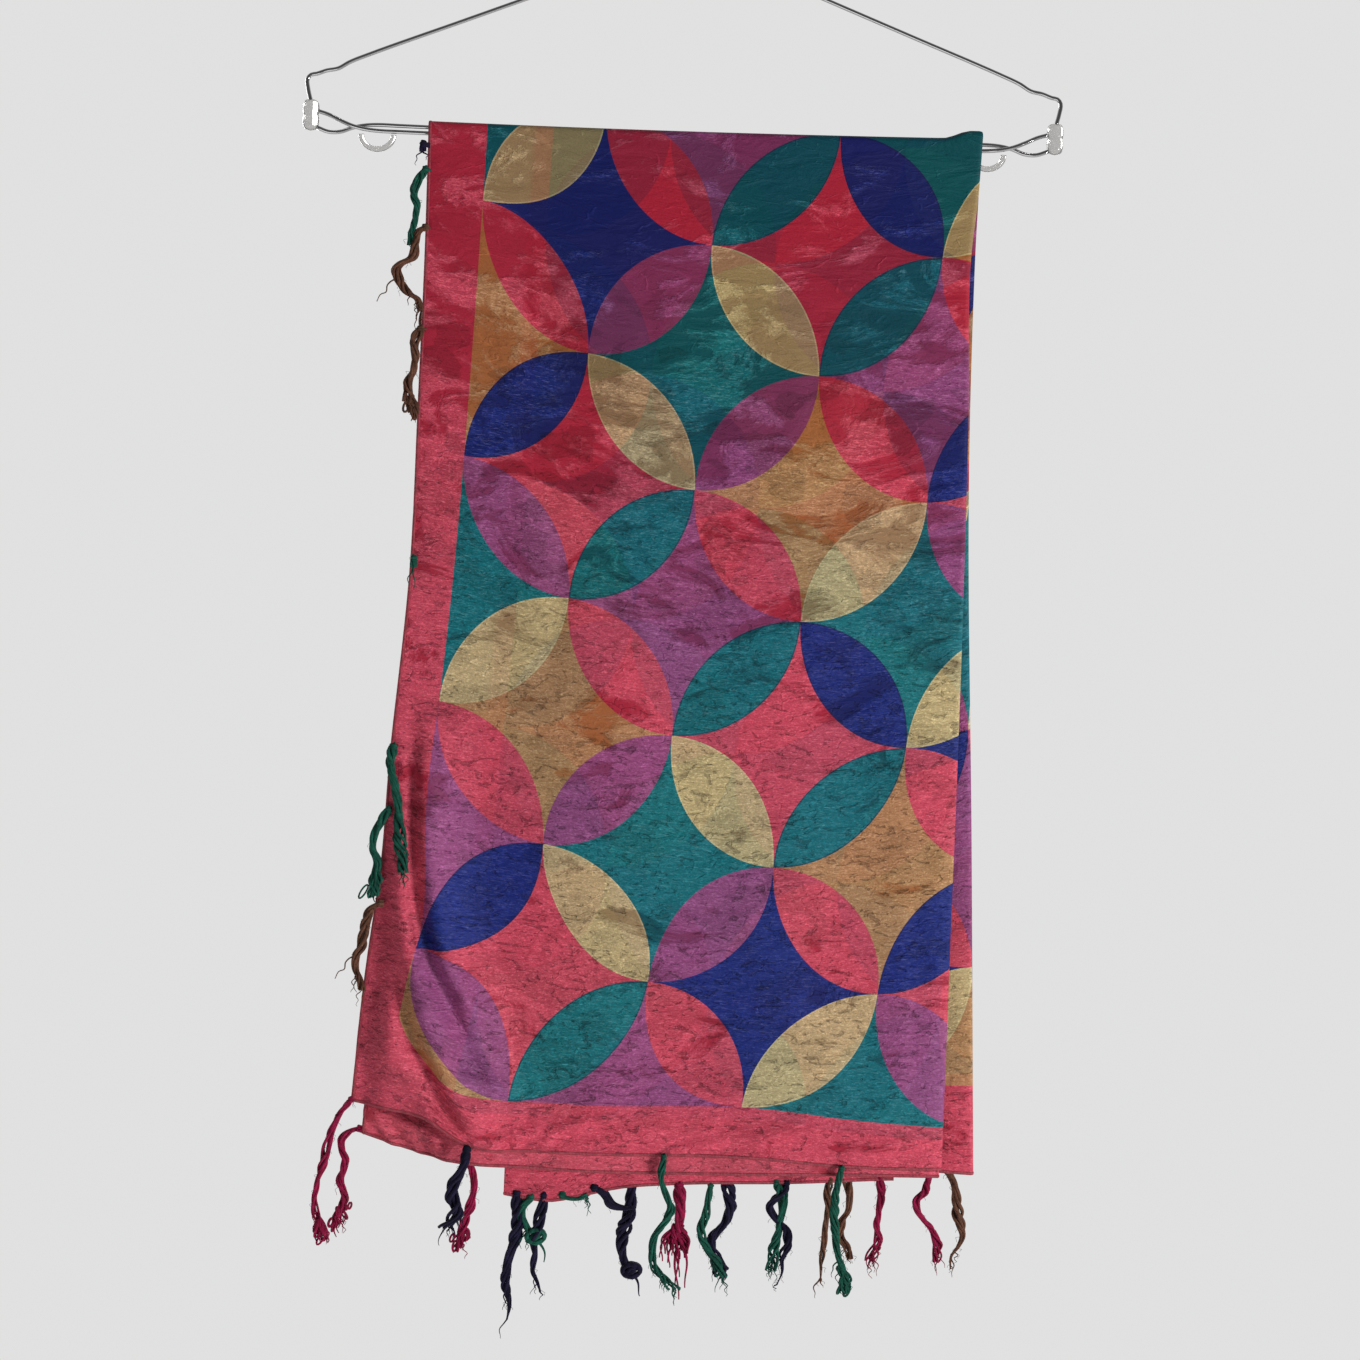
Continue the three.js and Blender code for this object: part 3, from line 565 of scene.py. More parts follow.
def inside_border(u, v):
    """1 on the lattice, with its corner at the front hem's left rounded off, and 0 on the border."""
    inside = u.above(0) * u.below(CELLS) * v.above(0) * v.below(CELLS)
    aside, below = -u + CORNER[0], -v + CORNER[1]
    beyond = (aside * aside + below * below).above(CORNER_RADIUS**2)
    return inside * (-(beyond * aside.above(0) * below.above(0)) + 1)


def make_print():
    """A node group that gives the print's colour at a place (u, v) in cells, paler by so much painted
    sheen where the cloth is crushed. Petals lie along the two diagonals of the lattice, with
    four-pointed stars between."""
    tree = bpy.data.node_groups.new("circle_print", "ShaderNodeTree")
    for name in ("u", "v", "crushed"):
        tree.interface.new_socket(name, in_out="INPUT", socket_type="NodeSocketFloat")
    tree.interface.new_socket("Colour", in_out="OUTPUT", socket_type="NodeSocketColor")
    given = tree.nodes.new("NodeGroupInput")
    result = tree.nodes.new("NodeGroupOutput")
    u, v = Num(tree, given.outputs["u"]), Num(tree, given.outputs["v"])
    s, t = u + v - 0.5, u - v + 0.5
    i, j = s.floor(), t.floor()
    off_s, off_t = (s - i - 0.5).size(), (t - j - 0.5).size()
    along_s = off_s * off_s + (-off_t + 1) * (-off_t + 1) - 0.5
    along_t = off_t * off_t + (-off_s + 1) * (-off_s + 1) - 0.5
    on_s, on_t = along_s.below(0), along_t.below(0)
    petal_s, petal_t = petal_dyes(s, t, i, j)
    inside = inside_border(u, v)
    dye = pick(on_s, pick(on_t, star_dye(i, j), petal_t), petal_s)
    dye = pick(inside, CORAL, dye)
    smooth, crushed = dye_ramp(tree, dye, SMOOTH_DYES), dye_ramp(tree, dye, CRUSHED_SHEEN_DYES)
    colour = mix(tree, given.outputs["crushed"], smooth, crushed)

    # Blue and teal petals were printed with a dark outline, and beige ones with a pale one.
    line = pick(on_s, along_t, along_s).above(-OUTLINE) * pick(on_t, on_s, 1) * inside
    dark = line * (dye.equals(BLUE) + dye.equals(TEAL)) * 0.55
    colour = mix(tree, dark, colour, (0.012, 0.012, 0.06, 1))
    colour = mix(tree, line * dye.equals(BEIGE) * 0.35, colour, (0.62, 0.55, 0.30, 1))
    tree.links.new(colour, result.inputs["Colour"])
    return tree


PRINT = make_print()


def printed_colour(tree, u, v, crushed):
    made = node(tree, "ShaderNodeGroup", node_tree=PRINT)
    plug(tree, made.inputs["u"], u)
    plug(tree, made.inputs["v"], v)
    plug(tree, made.inputs["crushed"], crushed)
    return made.outputs["Colour"]


# Noises on the cloth: features a millimetre across and along it, detail, roughness and warp.
CLOTH_NOISES = {
    "patches": ((0.018, 0.038), 8, 0.66, 0.7),
    "broken": ((0.16, 0.52), 6, 0.74, 1.1),
    "dashes": ((0.20, 1.6), 3, 0.6, 0.8),
    "fine": ((0.60, 1.0), 4, 0.7, 0.6),
    "dents": ((0.075, 0.17), 4, 0.6, 1.6),
    "strokes": ((0.12, 0.34), 5, 0.66, 1.5),
    "weave": ((1.2, 1.5), 1),
    "bent": ((0.03, 0.05), 3, 0.6),
    "puckers": ((0.030, 0.085), 4, 0.6, 0.9),
    "crinkle": ((0.12, 0.30), 3, 0.6, 0.6),
}


def cloth_marks(tree, spot, v):
    """The crushed cloth's marks, as masks of real crinkling and of painted sheen, painted highlights
    and painted crease shade, few near the bar and over most of the cloth lower down, and the noises
    that its relief is made of. "low" grows from 0 at the bar to 1."""
    m = SimpleNamespace(**{k: stretched_noise(tree, spot, *row) for k, row in CLOTH_NOISES.items()})
    from_bar = (v - CELLS / 2).size()
    m.low = from_bar.ramp(0.1, 2.8)
    # The crushed patches: real crinkling, and a paler colour that is painted sheen, more of it lower
    # down.
    m.crushed = (m.patches + m.low * 0.18).ramp(0.52, 0.61) * (m.low * 0.2 + 0.8)
    # Painted highlights: pale flecks and dashes where the crushed cloth catches the light.
    m.flecks = m.broken.ramp(0.54, 0.60) * (m.crushed * 0.85 + m.low * 0.15) * (m.low * -0.6 + 1.0)
    m.dashes = m.dashes.ramp(0.58, 0.61) * m.crushed * (m.low * -0.55 + 1.0)
    m.fine = m.fine.ramp(0.50, 0.66)
    # Dents, strokes and cracks: relief, and also painted shade in the colour. Some facets get only
    # painted shade, and the crease ridges painted highlights as well as relief.
    m.dents = m.dents.ramp(0.585, 0.625) * m.low
    m.strokes = m.strokes.ramp(0.63, 0.68) * m.low
    m.facets = shaded_facet_mask(tree, spot, m.bent) * from_bar.ramp(0.4, 1.2) * (m.low * -0.45 + 1.0)
    m.ridges = crease_lines(tree, spot, (0.036, 0.082), m.bent, 0.035)
    m.cracks = crease_lines(tree, spot, (0.060, 0.125), -m.bent + 3.7, 0.04)
    return m


def seen_through(tree, u, v):
    """The print of the layer behind, turned over, as it tints the front one."""
    behind = printed_colour(tree, -u + CELLS + BEHIND_SHIFT[0], v + BEHIND_SHIFT[1], 1.0)
    behind = mix(tree, 0.5, behind, (1, 1, 1, 1))
    return mix(tree, 1.0, behind, (1.27, 1.27, 1.27, 1), "MULTIPLY")


def cloth_colour(tree, m, u, v):
    # The share of the paler crushed colour: painted sheen, with painted highlights in the flecks and
    # fine grain.
    crushed_share = m.crushed * 0.5 + m.flecks * 0.35 + m.fine * m.crushed * 0.3
    colour = printed_colour(tree, u, v, crushed_share)
    one_layer, three_layers = SHOW_THROUGH
    through = (u.ramp(0.185, 0.22) * (three_layers - one_layer) + one_layer) * (m.low * -0.55 + 1.0)
    colour = mix(tree, through, colour, seen_through(tree, u, v), "MULTIPLY")
    # Painted highlights in flecks, dashes, fine grain and crease ridges, with the weave's real grain.
    highlights_and_grain = m.flecks * 0.42 + m.dashes * 0.55 + m.fine * m.crushed * 0.30
    highlights_and_grain = highlights_and_grain + m.ridges * (m.low * -0.16 + 0.24) + (m.weave - 0.5) * 0.6
    # Painted shade in dents, strokes, cracks and on some facets.
    dark = m.facets * 0.30 + m.dents * 0.36 + m.strokes * 0.17 + m.cracks * (m.low * 0.11 + 0.02)
    shade = highlights_and_grain - dark + 1.05
    grey = node(tree, "ShaderNodeCombineColor", {0: shade, 1: shade, 2: shade}).outputs[0]
    colour = mix(tree, 1.0, colour, grey, "MULTIPLY")
    # A little pale colour mixed in at the flecks and dashes: painted highlight.
    return mix(tree, m.flecks * 0.04 + m.dashes * 0.10, colour, (0.72, 0.66, 0.62, 1))


def cloth_relief(m):
    """The height of the finest puckers and creases, in millimetres."""
    raised = m.puckers * 1.7 + m.crinkle * 0.6 * (m.crushed * 0.7 + 0.3)
    raised = raised + m.ridges * 0.2 + m.broken * 0.5 * m.crushed + m.weave * 0.04
    return raised - m.cracks * (m.low * 0.20 + 0.03) - m.dents * 0.4 - m.strokes * 0.2


def cloth_material(name, wrong_side=False):
    """Thin crinkled satin, with painted sheen: paler where it is crushed, more so lower down, with
    painted highlights in fine broken flecks and painted shade in its creases.
    """
    material, tree = new_material(name)
    place = texture_place(tree, "cloth")
    split = node(tree, "ShaderNodeSeparateXYZ", {0: place})
    u, v = Num(tree, split.outputs[0]), Num(tree, split.outputs[1])
    m = cloth_marks(tree, times(tree, place, (CELL_LONG, CELL_LONG)), v)
    colour = cloth_colour(tree, m, u, v)
    if wrong_side:
        colour = mix(tree, 0.05, colour, (0.55, 0.30, 0.30, 1))
    look(
        tree,
        Base_Color=colour,
        Roughness=m.crushed * -0.08 + m.flecks * -0.12 + m.weave * 0.1 + 0.52,
        Normal=bumped(tree, cloth_relief(m), 1.0, 1.0),
        Specular_IOR_Level=0.18,
        Sheen_Weight=0.012,
        Sheen_Roughness=0.45,
        Sheen_Tint=(1.0, 0.93, 0.90, 1),
    )
    return material


def hem_material():
    """The border's coral, rolled and whipped with thread."""
    material, tree = new_material("rolled_hem")
    place = texture_place(tree)
    inputs = {"Vector": place, "Scale": 0.42, "Distortion": 1.2, "Detail": 2}
    thread = node(tree, "ShaderNodeTexWave", inputs).outputs["Fac"]
    worn = stretched_noise(tree, place, (0.25, 3), 3, 0.6).ramp(0.35, 0.7)
    colour = mix(tree, worn, (0.24, 0.022, 0.036, 1), (0.44, 0.045, 0.075, 1))
    look(tree, Base_Color=colour, Roughness=0.6, Normal=bumped(tree, thread, 0.6, 0.3))
    return material


# ---- The cloth ----


def bar_height(x):
    """The height of the middle of the upper bar wire, with the springy lift at the right fold."""
    along = x - BAR_Z * math.sin(HANGER_TILT)
    sag = BAR_SAG * (1 - (along / BAR_HALF) ** 2)
    bar = BAR_Z * math.cos(HANGER_TILT) - along * math.sin(HANGER_TILT) - sag
    return bar + BAR_PITCH / 2 + TOP_LIFT * smoothstep(x, LIFT_FROM, LIFT_TO)


def stand_off(side, x, z):
    """How far the inside of a drop stands from the bar's plane."""
    off = read(PARTING["down"], PARTING["off"], bar_height(x) - z)
    drop = BAR_Z - z
    for row in FOLDS[side]:
        fold = dict(zip(FOLD_COLUMNS, row))
        line = lerp(fold["start"], fold["end"], (drop - fold["from"]) / (FOLD_END - fold["from"]))
        grown = smoothstep(drop, fold["from"] - FOLD_LEAD, fold["from"] + FOLD_RISE)
        off = off + fold["height"] * grown * np.exp(-(((x - line) / fold["width"]) ** 2))
    return off


def edge(side, which, down):
    return read(EDGES[side]["down"], EDGES[side][which], down)


def half_fold(side, down):
    return lerp(HALF_FOLD_AT_BAR, HALF_FOLD_AT_HEM[side], down)


def hem_start(layer, side):
    """Where a layer's hem begins, on the left."""
    return half_fold(side, 1) if layer == "inner" else edge(side, "left", 1)


def hem_drop(layer, side, x):
    left = hem_start(layer, side)
    share = (x - left) / (edge(side, "right", 1) - left)
    table = HEMS[layer, side]
    return read(table["across"], table["drop"], share)


def small_creases(side):
    """Short shallow creases, mostly lying across the cloth, and more of them lower down."""
    dice = random.Random(41 + side)
    rows = []
    for _ in range(SMALL_CREASES):
        drop = SMALL_CREASES_TO * math.sqrt(dice.uniform(0.01, 1))
        x = dice.uniform(-150, 145)
        angle = dice.gauss(0, 16)
        length = dice.uniform(8, 30)
        width = dice.uniform(2.2, 3.4)
        height = dice.choice((-1, 1, 1)) * dice.uniform(0.2, 0.6)
        rows.append((x, drop, angle, length, width, height, dice.uniform(-3, 3)))
    return rows


def relief(creases, x, drop):
    """How far the creases push a place on the cloth out."""
    out = np.zeros_like(x)
    for row in creases:
        crease = dict(zip(CREASE_COLUMNS, row))
        angle = math.radians(crease["angle"])
        across, below = x - crease["x"], drop - crease["drop"]
        along = (across * math.cos(angle) - below * math.sin(angle)) / (crease["length"] / 2)
        aside = across * math.sin(angle) + below * math.cos(angle) - crease["bow"] * along**2
        near = (np.abs(along) < 1.6) & (np.abs(aside) < 4.5 * crease["width"])
        shape = np.exp(-((aside / crease["width"]) ** 2))
        shoulder = 0.45 * np.exp(-(((aside - 2 * crease["width"]) / (1.3 * crease["width"])) ** 2))
        out += np.where(near, crease["height"] * (shape - shoulder) * np.exp(-(along**4)), 0)
    return np.maximum(out, -DEEPEST)


def furrow_relief(furrows, x, drop):
    """How far the furrows' banks lift a place on the cloth."""
    out = np.zeros_like(x)
    for row in furrows:
        furrow = dict(zip(FURROW_COLUMNS, row))
        places = smooth_path([(a, b, 0) for a, b in furrow["places"]], 6)[:, :2]
        nearest = np.full(x.shape, 1e6)
        share, reach = np.zeros_like(x), np.ones_like(x)
        for k, (start, end) in enumerate(zip(places[:-1], places[1:])):
            way = end - start
            across, below = x - start[0], drop - start[1]
            t = np.clip((across * way[0] + below * way[1]) / (way @ way), 0, 1)
            away = np.hypot(across - t * way[0], below - t * way[1])
            closer = away < nearest
            left = way[0] * below - way[1] * across > 0
            share = np.where(closer, (k + t) / (len(places) - 1), share)
            reach = np.where(closer, np.where(left, furrow["left_reach"], furrow["reach"]), reach)
            nearest = np.minimum(away, nearest)
        banks = (1 - np.exp(-((nearest / furrow["valley"]) ** 2))) * np.exp(-((nearest / reach) ** 2))
        ends = smoothstep(share, 0, 0.3) * (1 - 0.6 * smoothstep(share, 0.8, 1))
        out += furrow["height"] * banks * ends
    return out


def outer_relief(side, x, drop):
    """How far the outer layer stands out from its plain place."""
    from_edge = x - edge(side, "left", np.clip(drop / USUAL_HEM_DROP, 0, 1))
    keep_edge = 0.35 + 0.65 * smoothstep(from_edge, -1, 16)
    creases = relief(CREASES[side] + small_creases(side), x, drop)
    return creases + keep_edge * furrow_relief(FURROWS[side], x, drop)


def fold_columns(outer_depth, inner_depth, turn, outer_ply, inner_ply, arcs=8):
    """Columns along a layer's outer ply, round its fold and back along its inner ply. "Back" is 0
    on the outer ply and 1 on the inner one. turn is 1 for a fold on the right, -1 on the left."""
    middle, radius = (outer_depth + inner_depth) / 2, (outer_depth - inner_depth) / 2
    fold = 1 if turn > 0 else 0
    columns = [(across, 0, outer_depth, 0) for across in outer_ply]
    for k in range(1, arcs):
        angle = math.pi / 2 - math.pi * k / arcs
        columns.append(
            (fold, turn * radius * math.cos(angle), middle + radius * math.sin(angle), k / arcs)
        )
    columns += [(across, dx, inner_depth, 1) for across, dx in inner_ply]
    return [np.array(values, float) for values in zip(*columns)]


def print_u(side, which, down):
    return read(PRINT_U[side]["down"], PRINT_U[side][which], down)


def cloth_u(layer, side, down, x, back):
    """The print's u at a place: it runs right along the outer layer, back along the ply behind it
    to the half fold, and the same way again on the two plies between."""
    left, right = edge(side, "left", down), edge(side, "right", down)
    turn = right - FOLD_RADIUS
    fold = print_u(side, "fold", down)
    first = lerp(print_u(side, "left", down), fold, (np.minimum(x, turn) - left) / (right - left))
    half = half_fold(side, down)
    second = lerp(CELLS / 2, fold, (np.clip(x, half, turn) - half) / (right - half))
    if layer == "inner":
        return lerp(CELLS - second, second, back)
    u = lerp(first, second, back)
    return u if layer == "outer" else CELLS - u


def u_seen(side, down, x):
    """The print's u that the outer layer has at a place."""
    left, right = edge(side, "left", down), edge(side, "right", down)
    ends = print_u(side, "left", down), print_u(side, "fold", down)
    return lerp(*ends, (x - left) / (right - left))


def front_v(u, drop):
    """The print's v on the front drop, where the outer layer's u is this one."""
    rows = FIRST_ROW_DROP + ROW_SLOPE * (u - 1) - ROW_BOW * (u - 1) ** 2
    drawn_up = (1 - smoothstep(u, 0, 0.5)) * (1 - smoothstep(drop, 40, 150))
    return FIRST_ROW_V - (drop - rows) / CELL_LONG - CORNER_DRAWN_UP * drawn_up


def denser(start, turn, end, count, more):
    """Values from start to end, with "count" of them before the turn and "more" after it."""
    return np.concatenate([np.linspace(start, turn, count), np.linspace(turn, end, more)[1:]])


class Layer:
    """A layer of the cloth on a grid: columns across it, as fold_columns() gives them, and rows from
    its front hem over the bar to its back hem."""

    def __init__(self, name, columns):
        self.name = name
        self.across, self.dx, self.depth, self.back = columns

    def row_x(self, side, down):
        left, right = edge(side, "left", down), edge(side, "right", down) - FOLD_RADIUS
        if self.name == "inner":
            left, right = half_fold(side, down) + HALF_FOLD_RADIUS, right - FOLD_RETURN
        return lerp(left, right, self.across) + self.dx

    def relief(self, side, x, drop, below_bar):
        """How far the layer stands out from its plain place."""
        if self.name == "outer":
            return outer_relief(side, x, drop) * (1 - self.back) * smoothstep(below_bar, 6, 40)
        if self.name == "under" and side == FRONT:
            below_hem = smoothstep(drop - np.interp(x, *OUTER_HEM_LINE), 1, 6)
            return relief(CORNER_RIDGES, x, drop) * below_hem * (1 - self.back)
        return 0

    def print_v(self, side, down, x, top, hem, z):
        if side == FRONT:
            seen = u_seen(side, down, x)
            v_hem = front_v(seen, BAR_Z - hem)
            at_hem = read(FRONT_HEM_V["u"], FRONT_HEM_V["v"], seen)
            return front_v(seen, BAR_Z - z) + (at_hem - v_hem) * smoothstep(down, 0.8, 1)
        over_bar = math.pi * self.depth * PRESSED / CELL_LONG
        start = front_v(u_seen(side, 0, x), BAR_Z - top) + over_bar
        return lerp(start, BACK_HEM_V[self.name], down)

    def drop_rows(self, side, downs):
        down = np.asarray(downs)[:, None]
        x = self.row_x(side, down)
        top, hem = bar_height(x), BAR_Z - hem_drop(self.name, side, x)
        z = lerp(top, hem, down)
        apart = lerp(PRESSED, 1, smoothstep(top - z, 0, PRESSED_TO))
        out = stand_off(side, x, z) + self.depth * apart
        out = out + self.relief(side, x, BAR_Z - z, top - z)
        u = cloth_u(self.name, side, down, x, self.back)
        v = self.print_v(side, down, x, top, hem, z)
        return stack(x, side * out, z), stack(u, v)

    def bar_rows(self, turns):
        angle = (np.arange(1, turns) * math.pi / turns)[:, None]
        x = self.row_x(FRONT, 0.0)
        radius = REST_RADIUS + self.depth * PRESSED
        z = bar_height(x) + radius * np.sin(angle)
        u = cloth_u(self.name, FRONT, 0.0, x, self.back)
        v = front_v(u_seen(FRONT, 0.0, x), BAR_Z - bar_height(x)) + radius * angle / CELL_LONG
        return stack(x, -radius * np.cos(angle), z), stack(u, v)

    def grid(self, front, turns, back_rows):
        """The grid's points and their places (u, v) in the print."""
        blocks = [
            self.drop_rows(FRONT, denser(1, 0.72, 0, *front)),
            self.bar_rows(turns),
            self.drop_rows(BACK, np.linspace(0, 1, back_rows + 1)),
        ]
        return [np.concatenate(rows) for rows in zip(*blocks)]


def outer_hem_line():
    x = np.linspace(*OUTER_HEM_ENDS, 80)
    table = HEMS["outer", FRONT]
    return x, read(table["across"], table["drop"], (x - x[0]) / (x[-1] - x[0]))


OUTER_HEM_LINE = outer_hem_line()


def sheet_normals(points):
    return unit(np.cross(np.gradient(points, axis=1), np.gradient(points, axis=0)))


def make_shell(name, points, places, materials):
    """A thin closed cloth on a grid of points: its first face takes the first material, its second
    face and rim the second."""
    rows, width = points.shape[:2]
    normals = sheet_normals(points)
    sides = [points + normals * CLOTH / 2, points - normals * CLOTH / 2]
    grid = np.arange(rows * width).reshape(rows, width)
    a, b, c, d = grid[:-1, :-1], grid[:-1, 1:], grid[1:, 1:], grid[1:, :-1]
    quads = stack(a, b, c, d).reshape(-1, 4)
    loop = np.concatenate([grid[0, :-1], grid[:-1, -1], grid[-1, :0:-1], grid[:0:-1, 0]])
    ahead = np.roll(loop, -1)
    sheet = rows * width
    rim = stack(ahead, loop, loop + sheet, ahead + sheet)
    shell = Parts()
    shell.add(
        np.concatenate([side.reshape(-1, 3) for side in sides]),
        np.concatenate([quads, quads[:, ::-1] + sheet, rim]).tolist(),
        np.concatenate([places.reshape(-1, 2)] * 2),
    )
    piece = put_mesh(name, shell, materials[0], "cloth")
    piece.data.materials.append(materials[1])
    slots = np.zeros(len(piece.data.polygons), int)
    slots[len(quads):] = 1
    piece.data.polygons.foreach_set("material_index", slots)
    smooth = np.ones(len(slots), bool)
    smooth[2 * len(quads):] = False
    piece.data.polygons.foreach_set("use_smooth", smooth)
    return piece


HEM_WIDTH, HEM_THICKNESS, HEM_SIDES = 1.9, 1.0, 8


def make_hem(name, points, lines, material):
    """A narrow rolled hem along the named edges of a layer's grid."""
    normals = sheet_normals(points)
    roll = Parts()
    ways = {
        "front": (points[0], points[1] - points[0], normals[0]),
        "left": (points[:, 0], points[:, 1] - points[:, 0], normals[:, 0]),
        "back": (points[-1], points[-2] - points[-1], normals[-1]),
    }
    angles = np.arange(HEM_SIDES) * 2 * math.pi / HEM_SIDES
    for line in lines:
        path, inward, normal = ways[line]
        inward = unit(inward)
        length = length_along(path)
        wobble = 1 + 0.12 * np.sin(length / 3.1) + 0.08 * np.sin(length / 1.3 + 2)
        rings = (
            path[:, None]
            + inward[:, None] * (HEM_WIDTH / 2 * (np.cos(angles) + 0.75))[None, :, None]
            + normal[:, None] * (HEM_THICKNESS / 2 * np.sin(angles))[None, :, None]
            * wobble[:, None, None]
        )
        count, sides = rings.shape[:2]
        spots = stack(length[:, None], np.arange(sides) / sides)
        roll.add(rings.reshape(-1, 3), ring_faces(count, sides), spots.reshape(-1, 2))
    return put_mesh(name, roll, material)


def fold_plan():
    """The columns of each layer's grid."""
    near, far = DEPTHS["inner_near"], DEPTHS["inner_far"]
    outer_ply, under_ply = denser(0, 0.36, 1, 54, 44), denser(UNDER_FROM, 0.2, 1, 26, 40)
    back_ply = [(1, dx) for dx in np.linspace(0, -FOLD_RETURN, 9)]
    inner_ply = [(across, 0) for across in np.linspace(0, 1, 34)]
    return {
        "outer": fold_columns(DEPTHS["outer"], near, 1, outer_ply, back_ply),
        "under": fold_columns(DEPTHS["under"], far, 1, under_ply, back_ply),
        "inner": fold_columns(far, near, -1, np.linspace(1, 0, 34), inner_ply),
    }


# Rows of each layer's grid: of the front drop near its hem and above, the bar and the back drop.
LAYER_ROWS = {
    "outer": ((92, 122), 12, 184),
    "under": ((70, 70), 10, 110),
    "inner": ((40, 70), 10, 150),
}
# The edges of each layer's grid that get a rolled hem.
LAYER_HEMS = {
    "outer": ("front", "left", "back"),
    "under": ("front", "left", "back"),
    "inner": ("front", "back"),
}


def make_scarf():
    right = cloth_material("scarf_print")
    wrong = cloth_material("scarf_print_wrong_side", wrong_side=True)
    hem = hem_material()
    for layer, columns in fold_plan().items():
        points, places = Layer(layer, columns).grid(*LAYER_ROWS[layer])
        # Only the outer layer has the printed right side on its grid's first face.
        faces = (right, wrong) if layer == "outer" else (wrong, right)
        piece = make_shell(f"scarf_{layer}", points, places, faces)
        roll = make_hem(f"hem_{layer}", points, LAYER_HEMS[layer], hem)
        node_name = "inner_layers" if layer == "inner" else f"{layer}_layer"
        for made in (piece, roll):
            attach(made, "root")
        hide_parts(node_name)


# ---- Tassels ----

YARNS = {
    "yarn_green": ((0.003, 0.034, 0.024, 1), (0.012, 0.125, 0.082, 1)),
    "yarn_brown": ((0.045, 0.018, 0.011, 1), (0.180, 0.078, 0.046, 1)),
    "yarn_magenta": ((0.110, 0.002, 0.018, 1), (0.400, 0.010, 0.078, 1)),
    "yarn_navy": ((0.002, 0.002, 0.008, 1), (0.014, 0.010, 0.042, 1)),
}

